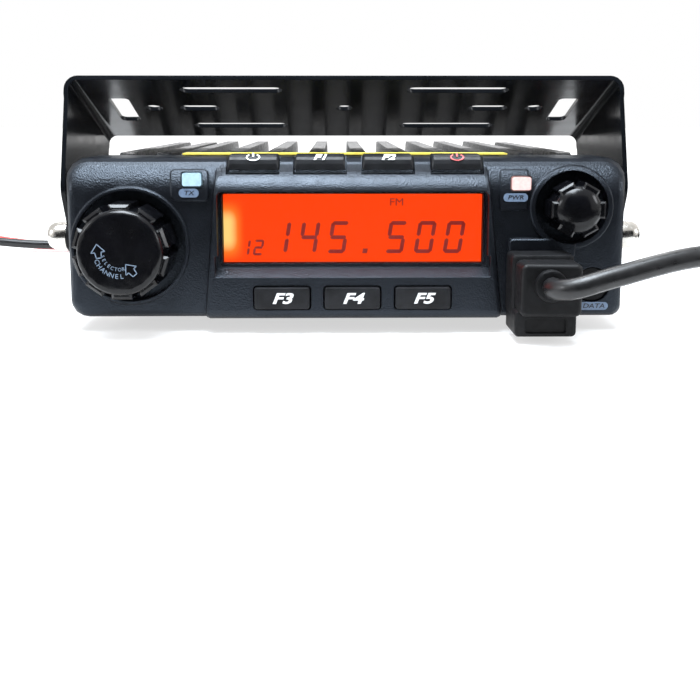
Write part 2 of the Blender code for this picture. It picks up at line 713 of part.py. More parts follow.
def display():
    """Clear window, liquid crystal glass and the light guide behind it."""
    window = slab("lcd_window",
                  [rounded_box((LCD_X[0] - 0.9, LCD_X[1] + 0.9), (LCD_Z[0] - 0.9, LCD_Z[1] + 0.6),
                               1.1)], 2.3, 3.0)
    finish(window, material("clear_window_plastic", (0.9, 0.9, 0.9), 0.08, 0.0, 0.25), False)
    glass = box("lcd_glass", (LCD_X[0] + 0.1, LCD_X[1] - 0.1), (3.3, 5.6),
                (LCD_Z[0] + 0.1, LCD_Z[1] - 0.1))
    finish(glass, material("orange_lit_display", (1.0, 0.18, 0.03), 0.2), False)
    guide = box("lcd_light_guide", (LCD_X[0] + 0.4, LCD_X[1] - 0.4), (5.9, 14.6),
                (LCD_Z[0] + 0.4, LCD_Z[1] - 0.4))
    finish(guide, material("white_light_guide", (0.85, 0.85, 0.82), 0.35), False)


def lower_keys():
    """Three function keys under the display; each slides straight in."""
    width, height = LOWER_KEY_SIZE
    for name, x in LOWER_KEYS.items():
        outline = rounded_box((x - width / 2, x + width / 2),
                              (LOWER_KEY_Z - height / 2, LOWER_KEY_Z + height / 2), 0.7)
        cap = slab(name, [outline], BEZEL_FACE - 1.3, PANEL_CAVITY - 0.4)
        round_edges(cap, 0.5, 2, lambda x, depth, z: depth < 0.0)
        finish(cap, material(*KEY_RUBBER))


def upper_keys():
    """Four keys on the rounded shoulder; each slides straight down."""
    near, far = UPPER_KEY_DEPTH
    half = UPPER_KEY_WIDTH / 2
    for name, x in UPPER_KEYS.items():
        side = rounded([
            (near, UPPER_KEY_FOOT, 0.0), (near, 44.9, 2.2),
            (far, 45.2, 0.6), (far, UPPER_KEY_FOOT, 0.0),
        ], 4)
        cap = slab(name, [side], x - half, x + half, "YZ")
        round_edges(cap, 0.5, 1, lambda px, depth, z: z > UPPER_KEY_FOOT + 0.2)
        finish(cap, material(*KEY_RUBBER))


def light_pipe(name, at, colour):
    """Small clear block that carries an indicator's light through the panel."""
    x, z = at
    outline = rounded_box((x - LIGHT_SIZE[0] / 2, x + LIGHT_SIZE[0] / 2),
                          (z - LIGHT_SIZE[1] / 2, z + LIGHT_SIZE[1] / 2), 0.5)
    pipe = slab(name, [outline], WING_FACE - 1.0, 14.6)
    finish(pipe, material(name + "_plastic", colour, 0.25), False)


def channel_knob():
    """Large selector: ten raised grips around a flat face."""
    x, z = CHANNEL_KNOB_AT
    knob = cylinder("channel_knob", (x, -3.0, z), CHANNEL_KNOB_RADIUS - 1.1, 17.0, "Y", 40)
    round_edges(knob, 1.4, 3, lambda px, depth, pz: depth < -11.0)
    grips = []
    count = 10
    for number in range(count):
        turn = Matrix.Rotation(2 * math.pi * number / count, 4, "Y")
        grip = box("grip", (-2.5, 2.5), (-10.2, 5.2), (6.0, CHANNEL_KNOB_RADIUS))
        round_edges(grip, 0.7, 1, lambda px, depth, pz: depth < -10.0)
        grip.matrix_world = Matrix.Translation(place(x, -2.5, z)) @ turn @ Matrix.Translation(
            grip.location - place(0.0, -2.5, 0.0))
        grips.append(grip)
    for grip in grips:
        fuse(knob, grip)
    cut(knob, cylinder("cut_channel_bore", (x, 2.0, z), 3.3, 14.0, "Y", 24))
    return finish(knob, material(*KNOB_PLASTIC))


def volume_knob():
    """Small knob: six grips around a domed face."""
    x, z = VOLUME_KNOB_AT
    core = VOLUME_KNOB_RADIUS - 0.8
    profile = [(0.0, 0.0), (2.4, -0.15), (4.2, -0.7), (5.3, -1.6), (core, -2.8), (core, -13.6),
               (0.0, -13.6)]
    knob = lathe("volume_knob", (x, -8.2, z), profile, (0, -1, 0), 32)
    count = 6
    for number in range(count):
        turn = Matrix.Rotation(2 * math.pi * (number + 0.5) / count, 4, "Y")
        grip = box("tool_grip", (-2.1, 2.1), (-6.4, 4.4), (3.0, VOLUME_KNOB_RADIUS))
        round_edges(grip, 0.5, 1, lambda px, depth, pz: depth < -6.0)
        grip.matrix_world = Matrix.Translation(place(x, -1.0, z)) @ turn @ Matrix.Translation(
            grip.location - place(0.0, -1.0, 0.0))
        fuse(knob, grip)
    cut(knob, cylinder("cut_volume_bore", (x, 2.0, z), 2.3, 10.0, "Y", 20))
    return finish(knob, material(*KNOB_PLASTIC))


def shafts_and_controls():
    """Rotary parts behind the knobs, with the shafts that turn in them."""
    for label, (x, z), radius, reach, size, bush in (
        ("channel", CHANNEL_KNOB_AT, 3.0, -4.6, 6.4, 3.7),
        ("volume", VOLUME_KNOB_AT, 2.0, -2.6, 5.2, 3.1),
    ):
        shaft = cylinder(f"{label}_shaft", (x, (reach + 14.0) / 2, z), radius, 14.0 - reach,
                         "Y", 24)
        finish(shaft, material(*TIN_PLATE))
        name = "channel_encoder" if label == "channel" else "volume_control"
        top = min(z + size, 35.2)
        body = box(name, (x - size, x + size), (PANEL_CAVITY + GAP, 14.6), (z - size, top))
        fuse(body, cylinder(f"tool_{label}_bush", (x, 8.0, z), bush, 3.4, "Y", 24))
        cut(body, cylinder(f"cut_{label}_shaft", (x, 10.0, z), radius + 0.3, 20.0, "Y", 24))
        finish(body, material(*TIN_PLATE), False)


# ---------------------------------------------------------------- sockets and plug

def socket(name, at, outer_depth, inward, radius, bore):
    """Round panel socket: collar with a blind bore."""
    x, z = at
    length = 10.0
    ring = cylinder(name, (x, outer_depth + inward * length / 2, z), radius, length, "Y", 24)
    cut(ring, cylinder("cut_" + name, (x, outer_depth, z), bore, 2 * (length - 2.0), "Y", 16))
    return finish(ring, material(*SOFT_RUBBER))


def microphone_socket():
    """Modular socket behind the panel, with the opening that takes the plug."""
    jack = box("mic_jack", MIC_JACK_X, (3.0, 14.6), MIC_JACK_Z)
    cut(jack, box("cut_mic_jack", (MIC_JACK_X[0] + 1.0, MIC_JACK_X[1] - 1.0), (-2.0, 12.0),
                  (MIC_JACK_Z[0] + 1.0, MIC_JACK_Z[1] - 1.0)))
    return finish(jack, material(*SOFT_RUBBER), False)


def microphone_plug():
    """Rubber boot over the plug, with a wider foot and the cord's collar."""
    back = BEZEL_FACE - GAP
    boot = slab("mic_plug_boot", [rounded_box((41.6, 56.4), (7.2, 20.0), 1.4)], -17.0, back)
    round_edges(boot, 1.1, 3, lambda x, depth, z: depth < -16.0)
    skirt = slab("tool_skirt", [rounded_box((40.6, 56.0), (5.9, 21.2), 1.1)], -9.0, back - 0.1)
    round_edges(skirt, 0.8, 2, lambda x, depth, z: depth < -8.0)
    foot = slab("tool_foot", [rounded_box((40.8, 56.0), (1.6, 8.1), 1.1)], -13.5, back - 0.2)
    round_edges(foot, 0.8, 2, lambda x, depth, z: depth < -13.0)
    neck = box("tool_neck", (43.4, 55.4), (-3.0, WING_FACE - GAP), (7.6, 18.4))
    tongue = box("tool_tongue", (44.2, 53.0), (-2.0, 10.0), (9.2, 16.4))
    collar = cylinder("tool_collar", (MIC_CORD_AT[0], -17.4, MIC_CORD_AT[1]), 3.9, 2.6, "Y", 24)
    round_edges(collar, 0.5, 2, lambda x, depth, z: depth < -18.0)
    fuse(boot, skirt, foot, neck, tongue, collar)
    groove = slab("cut_foot_groove", [rounded_box((43.4, 53.4), (2.6, 6.2), 0.6)], -20.0, -12.9)
    cut(boot, groove)
    return finish(boot, material(*SOFT_RUBBER))


def antenna_connector():
    """Flanged UHF socket with insulator, centre contact and two screws."""
    x, z = ANTENNA_AT
    rise = 12.95
    corners = [(x - 9.4, z, 4.0), (x - 3.2, z - 16.4, 3.4), (x + 3.2, z - 16.4, 3.4),
               (x + 9.4, z, 4.0), (x + 3.2, z + 16.4, 3.4), (x - 3.2, z + 16.4, 3.4)]
    holes = [circle(x, z + side * rise, 1.7, 16) for side in (-1.0, 1.0)]
    shell = slab("antenna_connector_shell", [rounded(corners, 4)] + holes,
                 CHASSIS_BACK + GAP, CHASSIS_BACK + GAP + 1.6)
    length = 14.6
    base = CHASSIS_BACK + GAP
    barrel = cylinder("tool_barrel", (x, base + length / 2, z), 7.4, length, "Y", 32)
    ring = cylinder("tool_ring", (x, base + length - 2.6, z), 7.95, 3.2, "Y", 32)
    collar = cylinder("tool_flange_collar", (x, base + 2.2, z), 8.6, 2.6, "Y", 32)
    spigot = cylinder("tool_spigot", (x, base - 2.2, z), 6.0, 7.0, "Y", 32)
    fuse(shell, barrel, ring, collar, spigot)
    cut(shell, cylinder("cut_barrel", (x, base + 9.0, z), 6.3, 15.4, "Y", 32),
        cylinder("cut_spigot", (x, base - 2.0, z), 4.3, 14.0, "Y", 24))
    finish(shell, material(*COPPER_FLANGE))
    insulator = cylinder("antenna_insulator", (x, base + 6.4, z), 6.0, 8.0, "Y", 32)
    cut(insulator, cylinder("cut_insulator", (x, base + 6.4, z), 3.0, 16.0, "Y", 24))
    finish(insulator, material(*RED_RESIN))
    contact = cylinder("antenna_contact", (x, base + 3.2, z), 2.7, 17.2, "Y", 24)
    cut(contact, cylinder("cut_contact", (x, base + 9.0, z), 1.7, 10.0, "Y", 16),
        box("cut_contact_slot", (x - 0.3, x + 0.3), (base + 6.5, base + 14.0), (z - 4.0, z + 4.0)))
    finish(contact, material(*PALE_GOLD))
    for label, side in (("lower", -1.0), ("upper", 1.0)):
        profile = [(0.0, 0.0), (1.3, -0.15), (2.1, -0.9), (2.1, -1.5), (1.4, -1.5), (1.4, -7.0),
                   (0.0, -7.0)]
        screw = lathe(f"antenna_screw_{label}", (x, base + 1.6 + GAP + 1.5, z + side * rise),
                      profile, (0, 1, 0), 20)
        finish(screw, material(*NICKEL))


def circle(x, z, radius, count):
    """Round outline."""
    points = []
    for number in range(count):
        turn = 2 * math.pi * number / count
        points.append((x + radius * math.cos(turn), z + radius * math.sin(turn)))
    return points


def rear_details():
    """DC lead gland, blank rating plate and the blank strip on top of the panel."""
    gland = slab("dc_lead_gland", [rounded_box(GLAND_X, GLAND_Z, 1.0)], 126.0, GLAND_BACK)
    round_edges(gland, 0.8, 2, lambda x, depth, z: depth > GLAND_BACK - 0.1)
    finish(gland, material(*SOFT_RUBBER))
    x, z = LABEL_CENTRE
    plate = slab("rear_label_plate", [rounded_box((x - 17.0, x + 17.0), (z - 7.1, z + 7.1), 1.0)],
                 CHASSIS_BACK + GAP, CHASSIS_BACK + GAP + 0.7)
    finish(plate, material("black_label_film", (0.022, 0.022, 0.026), 0.3), False)
    strip = box("top_label_strip", (-42.0, 42.0), (10.2, 17.8), (PANEL_TOP + GAP, PANEL_TOP + 0.7))
    finish(strip, material("yellow_label_film", (0.85, 0.72, 0.12), 0.4), False)


# ---------------------------------------------------------------- inside

def inside_parts():
    """Boards, loudspeaker, power amplifier and shield can."""
    board = box("front_circuit_board", (-60.0, 60.0), (14.9, 16.5), (8.0, 35.2))
    finish(board, material(*GREEN_LAMINATE), False)
    main = box("main_circuit_board", (-56.0, 56.0), (28.0, 118.0), (20.0, 21.6))
    finish(main, material(*GREEN_LAMINATE), False)
    module = box("rf_power_module", (-38.0, 22.0), (92.0, 112.0), (21.9, 34.2))
    bevel(module, 0.8, 1)
    finish(module, material("black_module_resin", (0.03, 0.03, 0.03), 0.4), False)
    can = box("shield_can", (-10.0, 46.0), (44.0, 82.0), (21.9, 30.0))
    bevel(can, 0.8, 2)
    finish(can, material(*TIN_PLATE), False)
    profile = [(0.0, -2.6), (6.0, -2.6), (11.0, -0.6), (17.5, 0.0), (18.0, -0.6), (18.0, -2.4),
               (12.0, -6.4), (12.0, -12.0), (0.0, -12.0)]
    speaker = lathe("loudspeaker", (0.0, 51.5, COVER_TOP + GAP), profile, (0, 0, -1), 32)
    finish(speaker, material("loudspeaker_paper", (0.05, 0.05, 0.055), 0.7))


# ---------------------------------------------------------------- bracket

def bracket_plate_holes():
    """Outlines of the holes in the bracket's flat, as (across, back) in its own frame."""
    front = ORIGIN_DEPTH - BRACKET_DEPTH / 2
    wide = 2.2
    rows = []
    for side in (-1.0, 1.0):
        rows.append(((16.8, 44.4), front + 8.2, side))
        rows.append(((35.3, 46.4), front + 23.2, side))
        rows.append(((16.7, 44.7), front + 39.3, side))
    holes = []
    for span, middle, side in rows:
        across = sorted((side * span[0], side * span[1]))
        holes.append(rounded_box(across, (middle - wide, middle + wide), wide - 0.05))
    for side in (-1.0, 1.0):
        across = sorted((side * 59.6, side * 65.0))
        holes.append(rounded_box(across, (front + 15.0, front + 34.7), 1.5))
        holes.append(circle(side * 53.9, front + 23.2, 2.4, 16))
    holes.append(circle(0.0, front + 23.2, 2.25, 16))
    return holes


def mounting_bracket():
    """U bracket of sheet steel, tilted back about the side screws."""
    outer = BRACKET_OUTSIDE
    inner = outer - BRACKET_SHEET
    top = BRACKET_HEIGHT
    low = -9.0
    profile = rounded([
        (-outer, low, 0.0), (-inner, low, 0.0), (-inner, top - BRACKET_SHEET, 2.3),
        (inner, top - BRACKET_SHEET, 2.3), (inner, low, 0.0), (outer, low, 0.0),
        (outer, top, 3.4), (-outer, top, 3.4),
    ], 5)
    near = ORIGIN_DEPTH - BRACKET_DEPTH / 2
    far = ORIGIN_DEPTH + BRACKET_DEPTH / 2
    bracket = slab("mounting_bracket", [profile], near, far)
    keep = rounded([
        (near - 1.0, top + 5.0, 0.0), (near - 1.0, top - 3.0, 0.0), (near + 0.6, top - 6.0, 0.0),
        (near + 0.6, 7.0, 5.0), (ORIGIN_DEPTH - 9.0, -7.5, 6.0), (ORIGIN_DEPTH + 9.0, -7.5, 6.0),
        (far - 0.6, 7.0, 5.0), (far - 0.6, top - 6.0, 0.0), (far + 1.0, top - 3.0, 0.0),
        (far + 1.0, top + 5.0, 0.0),
    ], 5)
    keeper = slab("tool_leg_shape", [keep], -outer - 5.0, outer + 5.0, "YZ")
    combine(bracket, [keeper], "INTERSECT")
    holes = [slab("hole", [outline], top - 6.0, top + 5.0, "XY")
             for outline in bracket_plate_holes()]
    holes.append(cylinder("hole", (0.0, ORIGIN_DEPTH, 0.0), 2.6, 2 * outer + 10.0, "X", 20))
    cut(bracket, joined("cut_bracket_holes", holes))
    pose = Matrix.Translation(place(0.0, PIVOT_DEPTH, PIVOT_Z)) @ Matrix.Rotation(
        -BRACKET_TILT, 4, "X")
    for piece in (bracket, keeper, bpy.data.objects["cut_bracket_holes"]):
        piece.matrix_world = pose @ piece.matrix_world
    return finish(bracket, material(*BRACKET_STEEL))


def bracket_fasteners():
    """Domed side screws with the rubber washers under their heads."""
    foot = SIDE_SCREW_HEAD
    end = foot + SIDE_WASHER + 8.0
    for label, side in (("left", -1.0), ("right", 1.0)):
        start = BRACKET_OUTSIDE + GAP
        washer = cylinder(f"bracket_washer_{label}",
                          (side * (start + SIDE_WASHER / 2), PIVOT_DEPTH, PIVOT_Z), 4.4,
                          SIDE_WASHER, "X", 28)
        cut(washer, cylinder(f"cut_washer_{label}", (side * start, PIVOT_DEPTH, PIVOT_Z), 2.5,
                             4.0 * SIDE_WASHER, "X", 20))
        finish(washer, material(*SOFT_RUBBER))
        head = start + SIDE_WASHER + GAP
        profile = [(0.0, 0.0), (1.8, -0.1), (3.0, -0.7), (3.7, -1.8), (3.9, -3.0),
                   (3.9, -foot), (2.2, -foot), (2.2, -end), (0.0, -end)]
        screw = lathe(f"bracket_screw_{label}", (side * (head + foot), PIVOT_DEPTH, PIVOT_Z),
                      profile, (side, 0, 0), 28)
        hexagon = cylinder(f"cut_socket_{label}", (side * (head + foot), PIVOT_DEPTH, PIVOT_Z),
                           1.5, 2.6, "X", 6)
        cut(screw, hexagon)
        finish(screw, material(*NICKEL))


# ---------------------------------------------------------------- cords

def cords():
    """DC lead, microphone cord and the curled stretch's outer tube."""
    tube("dc_lead_red", RED_ROUTE, DC_WIRE_DIAMETER, 9.0, 2, material(*RED_WIRE))
    tube("dc_lead_black", BLACK_ROUTE, DC_WIRE_DIAMETER, 9.0, 2, material(*BLACK_WIRE))
    tube("mic_cord", MIC_ROUTE, MIC_CORD_DIAMETER, 4.5, 2, material(*BLACK_WIRE))
    tube("mic_cord_curl", CURL_ROUTE, CURL_DIAMETER, 12.0, 3, material(*BLACK_WIRE))
    tube("mic_cord_tail", TAIL_ROUTE, MIC_CORD_DIAMETER, 5.0, 2, material(*BLACK_WIRE))
    connector = slab("dc_connector", [rounded_box((-171.0, -145.3), (153.0, 169.5), 1.5)],
                     0.0, 10.0, "XY")
    round_edges(connector, 0.8, 2, lambda x, depth, z: z > 9.9)
    fuse(connector, box("tool_latch", (-166.0, -150.0), (158.5, 164.0), (9.0, 12.0)))
    finish(connector, material(*SOFT_RUBBER))


# ---------------------------------------------------------------- hand microphone

def mic_outline(shrink):
    """Outline of the hand microphone seen from above, wider at its head."""
    near, far = MIC_DEPTH
    half = MIC_HALF_WIDTH - shrink
    return rounded([
        (MIC_X - half, near + shrink, 10.0),
        (MIC_X + half, near + shrink, 10.0),
        (MIC_X + half - 5.0, far - shrink, 9.0),
        (MIC_X - half + 5.0, far - shrink, 9.0),
    ], 4)


def hand_microphone():
    """Two shells, push-to-talk key, hanger button and the cord's strain relief."""
    rear = slab("mic_rear_shell", [mic_outline(0.0)], 3.2, MIC_SPLIT_Z - 0.15, "XY")
    round_edges(rear, 4.0, 3, lambda x, depth, z: z < 3.3)
    front = slab("mic_front_shell", [mic_outline(0.4)], MIC_SPLIT_Z + 0.15, MIC_TOP_Z, "XY")
    round_edges(front, 3.4, 3, lambda x, depth, z: z > MIC_TOP_Z - 0.1)
    slots = []
    for row in range(5):
        depth = 36.0 + row * 4.4
        outline = rounded_box((MIC_X - 11.0, MIC_X + 11.0),
                              (depth - 0.9, depth + 0.9), 0.85)
        slots.append(slab("slot", [outline], MIC_TOP_Z - 1.6, MIC_TOP_Z + 3.0, "XY"))
    cut(front, joined("cut_mic_slots", slots))
    for shell in (rear, front):
        key_window = box("cut_ptt_window", (MIC_X - 40.0, MIC_X - 22.6), (37.0, 70.0), (9.7, 21.3))
        cord_hole = cylinder("cut_relief_hole", (MIC_X, 112.0, RELIEF_Z), 5.0, 14.0, "Y", 24)
        cut(shell, key_window)
        cut(shell, cord_hole)
        finish(shell, material("black_shell_plastic", (0.022, 0.022, 0.024), 0.5))
    key = slab("mic_ptt_key", [rounded_box((37.4, 69.6),
                                           (10.1, 20.9), 2.0)],
               MIC_X - 29.6, MIC_X - 24.2, "YZ")
    round_edges(key, 1.2, 3, lambda x, depth, z: x < MIC_X - 29.5)
    finish(key, material(*KEY_RUBBER))
    profile = [(0.0, 0.0), (5.6, 0.0), (6.0, -0.4), (6.0, -1.3), (3.6, -1.6), (3.6, -2.9), (0.0, -2.9)]
    button = lathe("mic_hanger_button", (MIC_X, 56.0, 0.0), profile, (0, 0, -1), 28)
    finish(button, material(*NICKEL))
    profile = [(0.0, 0.0), (3.4, 0.0), (4.0, -6.0), (4.7, -11.0), (4.7, -22.6), (0.0, -22.6)]
    relief = lathe("mic_strain_relief", (MIC_X, 129.0, RELIEF_Z), profile, (0, 1, 0), 24)
    finish(relief, material(*SOFT_RUBBER))


# ---------------------------------------------------------------- build

def build():
    """Make every part."""
    clear_scene()
    for name in (PART_COLLECTION, CUTTER_COLLECTION):
        group = bpy.data.collections.new(name)
        bpy.context.scene.collection.children.link(group)
    heat_sink_chassis()
    bottom_cover()
    cover_screws()
    front_panel()
    display()
    lower_keys()
    upper_keys()
    light_pipe("tx_light_pipe", TX_LIGHT_AT, (0.50, 0.68, 0.78))
    light_pipe("power_light_pipe", POWER_LIGHT_AT, (0.85, 0.42, 0.40))
    channel_knob()
    volume_knob()
    shafts_and_controls()
    socket("speaker_jack", SPEAKER_JACK_AT, CHASSIS_BACK - 0.8, -1.0, 4.5, 1.8)
    socket("data_jack", DATA_JACK_AT, WING_FACE + 0.8, 1.0, 4.3, 1.3)
    microphone_socket()
    microphone_plug()
    antenna_connector()
    rear_details()
    inside_parts()
    mounting_bracket()
    bracket_fasteners()
    cords()
    hand_microphone()
    switch_on_booleans()


build()
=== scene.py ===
"""Looks of the mobile transceiver: camera, cords, printed legends, fine detail, materials, studio."""
import json
import math

import bmesh
import bpy
import numpy as np
from mathutils import Matrix, Vector


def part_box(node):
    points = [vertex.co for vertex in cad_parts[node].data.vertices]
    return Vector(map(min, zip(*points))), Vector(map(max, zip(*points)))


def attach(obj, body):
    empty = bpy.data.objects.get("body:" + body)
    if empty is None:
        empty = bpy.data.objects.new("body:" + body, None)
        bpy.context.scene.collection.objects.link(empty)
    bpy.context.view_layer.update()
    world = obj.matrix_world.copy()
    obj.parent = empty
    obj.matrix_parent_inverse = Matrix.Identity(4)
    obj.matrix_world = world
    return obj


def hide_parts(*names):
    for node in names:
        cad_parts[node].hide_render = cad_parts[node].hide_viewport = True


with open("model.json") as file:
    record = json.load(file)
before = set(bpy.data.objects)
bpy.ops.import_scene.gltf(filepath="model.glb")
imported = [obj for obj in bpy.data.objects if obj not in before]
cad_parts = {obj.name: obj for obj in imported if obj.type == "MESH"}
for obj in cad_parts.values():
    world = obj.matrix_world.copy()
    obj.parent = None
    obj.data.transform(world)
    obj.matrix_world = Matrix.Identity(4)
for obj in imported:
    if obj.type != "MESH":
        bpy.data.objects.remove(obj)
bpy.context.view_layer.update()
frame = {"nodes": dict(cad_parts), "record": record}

MM = 0.001
ORIGIN_DEPTH = 72.5
NODES = frame["nodes"]
RADIO = "radio"
FACING_FRONT = Matrix.Rotation(math.radians(90.0), 3, "X")


def place(x, depth, z):
    """Position in the frame from right, depth behind the panel's face and height, in mm."""
    return Vector((x * MM, (depth - ORIGIN_DEPTH) * MM, z * MM))


# ---------------------------------------------------------------- camera

CAMERA_AT = (-2.4, -258.0, 55.0)
CAMERA_PITCH = 9.1
CAMERA_YAW = 0.78
CAMERA_LENS = 53.0
CAMERA_SHIFT = -0.1


def make_camera():
    """Camera at the front, a little above the fins."""
    data = bpy.data.cameras.new("camera")
    data.sensor_width = 36.0
    data.lens = CAMERA_LENS
    data.shift_y = CAMERA_SHIFT
    data.clip_start = 0.01
    camera = bpy.data.objects.new("camera", data)
    camera.location = place(*CAMERA_AT)
    camera.rotation_euler = (
        math.radians(90.0 - CAMERA_PITCH), 0.0, math.radians(-CAMERA_YAW)
    )
    bpy.context.scene.collection.objects.link(camera)
    bpy.context.scene.camera = camera


# ---------------------------------------------------------------- mesh helpers

def new_piece(name, data, body, look):
    """Link a piece, ride it on a CAD body and give it its material."""
    piece = bpy.data.objects.new(name, data)
    bpy.context.scene.collection.objects.link(piece)
    data.materials.clear()
    data.materials.append(look)
    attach(piece, body)
    return piece


def mesh_from(shape, smooth=False):
    """Mesh data from a bmesh."""
    bmesh.ops.recalc_face_normals(shape, faces=shape.faces)
    data = bpy.data.meshes.new("piece")
    shape.to_mesh(data)
    shape.free()
    for face in data.polygons:
        face.use_smooth = smooth
    return data


def close_prism(shape, low, high):
    """Add the two ends and the sides between two matching loops of vertices."""
    shape.faces.new(low)
    shape.faces.new(list(reversed(high)))
    count = len(low)
    for i in range(count):
        j = (i + 1) % count
        shape.faces.new((low[j], low[i], high[i], high[j]))


def prism(shape, outline, near, far):
    """Add a closed prism: an upright outline in mm, made thick between two depths."""
    low = [shape.verts.new(place(across, near, up)) for across, up in outline]
    high = [shape.verts.new(place(across, far, up)) for across, up in outline]
    close_prism(shape, low, high)


def rounded_box(across, up, radius, steps=4):
    """Outline of a rectangle with round corners."""
    points = []
    for cx, cz, start in (
        (across[1] - radius, up[0] + radius, -90.0), (across[1] - radius, up[1] - radius, 0.0),
        (across[0] + radius, up[1] - radius, 90.0), (across[0] + radius, up[0] + radius, 180.0),
    ):
        for step in range(steps + 1):
            turn = math.radians(start + 90.0 * step / steps)
            points.append((cx + radius * math.cos(turn), cz + radius * math.sin(turn)))
    return points


ROUND_BELOW = 38.0


def smooth_normals(node):
    """Shade a faceted CAD node as the round or flat surfaces that it stands for."""
    data = node.data
    count = len(data.polygons)
    normals = np.empty(count * 3)
    data.polygons.foreach_get("normal", normals)
    normals = normals.reshape(-1, 3)
    areas = np.empty(count)
    data.polygons.foreach_get("area", areas)
    around = {}
    for face in data.polygons:
        for vertex in face.vertices:
            co = data.vertices[vertex].co
            key = (round(co.x * 1e6), round(co.y * 1e6), round(co.z * 1e6))
            around.setdefault(key, []).append(face.index)
    limit = math.cos(math.radians(ROUND_BELOW))
    custom = np.zeros((len(data.loops), 3))
    for face in data.polygons:
        own = normals[face.index]
        for loop in face.loop_indices:
            co = data.vertices[data.loops[loop].vertex_index].co
            key = (round(co.x * 1e6), round(co.y * 1e6), round(co.z * 1e6))
            near = np.array(around[key])
            close = near[normals[near] @ own > limit]
            total = (normals[close] * areas[close][:, None]).sum(axis=0)
            custom[loop] = total / (np.linalg.norm(total) or 1.0)
        face.use_smooth = True
    data.normals_split_custom_set(custom.tolist())


# ---------------------------------------------------------------- materials

def tinted(colour, factor):
    """A colour made lighter or darker."""
    return tuple(min(1.0, channel * factor) for channel in colour)


class Surface:
    """Principled material built from noise: colour variation, roughness variation and relief."""

    def __init__(self, name, colour, roughness, metallic=0.0):
        self.data = bpy.data.materials.new(name)
        self.data.use_nodes = True
        self.tree = self.data.node_tree
        self.shader = self.tree.nodes["Principled BSDF"]
        self.shader.inputs["Base Color"].default_value = (*colour, 1.0)
        self.shader.inputs["Roughness"].default_value = roughness
        self.shader.inputs["Metallic"].default_value = metallic
        self.colour = colour
        self.roughness = roughness
        self.where = self.node("ShaderNodeTexCoord").outputs["Object"]
        self.normal = None

    def node(self, kind, **settings):
        """New node with its plain settings."""
        made = self.tree.nodes.new(kind)
        for key, value in settings.items():
            setattr(made, key, value)
        return made

    def link(self, source, target):
        """Connect an output to an input."""
        self.tree.links.new(source, target)

    def noise(self, scale, detail=3.0, stretch=None):
        """Noise over the object's own coordinates; scale is in features a metre."""
        texture = self.node("ShaderNodeTexNoise")
        texture.inputs["Scale"].default_value = scale
        texture.inputs["Detail"].default_value = detail
        if stretch:
            mapping = self.node("ShaderNodeMapping")
            mapping.inputs["Scale"].default_value = stretch
            self.link(self.where, mapping.inputs["Vector"])
            self.link(mapping.outputs["Vector"], texture.inputs["Vector"])
        else:
            self.link(self.where, texture.inputs["Vector"])
        return texture.outputs["Fac"]

    def mottle(self, scale, dark, light, low=0.35, high=0.65):
        """Vary the colour between a darker and a lighter tint."""
        ramp = self.node("ShaderNodeValToRGB")
        ramp.color_ramp.elements[0].position = low
        ramp.color_ramp.elements[1].position = high
        ramp.color_ramp.elements[0].color = (*tinted(self.colour, dark), 1.0)
        ramp.color_ramp.elements[1].color = (*tinted(self.colour, light), 1.0)
        self.link(self.noise(scale), ramp.inputs["Fac"])
        self.link(ramp.outputs["Color"], self.shader.inputs["Base Color"])

    def handled(self, scale, spread):
        """Vary the roughness, as handling and wear do."""
        span = self.node("ShaderNodeMapRange")
        span.inputs["From Min"].default_value = 0.3
        span.inputs["From Max"].default_value = 0.7
        span.inputs["To Min"].default_value = max(0.02, self.roughness - spread)
        span.inputs["To Max"].default_value = min(1.0, self.roughness + spread)
        self.link(self.noise(scale), span.inputs["Value"])
        self.link(span.outputs["Result"], self.shader.inputs["Roughness"])

    def soft_edges(self, radius):
        """Round the shading over sharp edges."""
        edge = self.node("ShaderNodeBevel", samples=3)
        edge.inputs["Radius"].default_value = radius * MM
        self.normal = edge.outputs["Normal"]
        self.link(self.normal, self.shader.inputs["Normal"])

    def relief(self, height, strength, distance):
        """Bump from a height output; several calls add up."""
        bump = self.node("ShaderNodeBump")
        bump.inputs["Strength"].default_value = strength
        bump.inputs["Distance"].default_value = distance * MM
        self.link(height, bump.inputs["Height"])
        if self.normal:
            self.link(self.normal, bump.inputs["Normal"])
        self.normal = bump.outputs["Normal"]
        self.link(self.normal, self.shader.inputs["Normal"])

    def shoulder(self, start, radius):
        """Bend the shading upwards above a height, as a rounded shoulder does."""
        parts = self.node("ShaderNodeSeparateXYZ")
        self.link(self.where, parts.inputs["Vector"])
        above = self.node("ShaderNodeMath", operation="SUBTRACT")
        above.inputs[1].default_value = start * MM
        self.link(parts.outputs["Z"], above.inputs[0])
        kept = self.node("ShaderNodeMath", operation="MAXIMUM")
        kept.inputs[1].default_value = 0.0
        self.link(above.outputs["Value"], kept.inputs[0])
        square = self.node("ShaderNodeMath", operation="MULTIPLY")
        self.link(kept.outputs["Value"], square.inputs[0])
        self.link(kept.outputs["Value"], square.inputs[1])
        drop = self.node("ShaderNodeMath", operation="MULTIPLY")
        drop.inputs[1].default_value = -1.0 / (2.0 * radius * MM)
        self.link(square.outputs["Value"], drop.inputs[0])
        self.relief(drop.outputs["Value"], 1.0, 1000.0)

    def cells(self, scale):
        """Distance to the nearest of many scattered points."""
        texture = self.node("ShaderNodeTexVoronoi")
        texture.inputs["Scale"].default_value = scale
        self.link(self.where, texture.inputs["Vector"])
        return texture.outputs["Distance"]


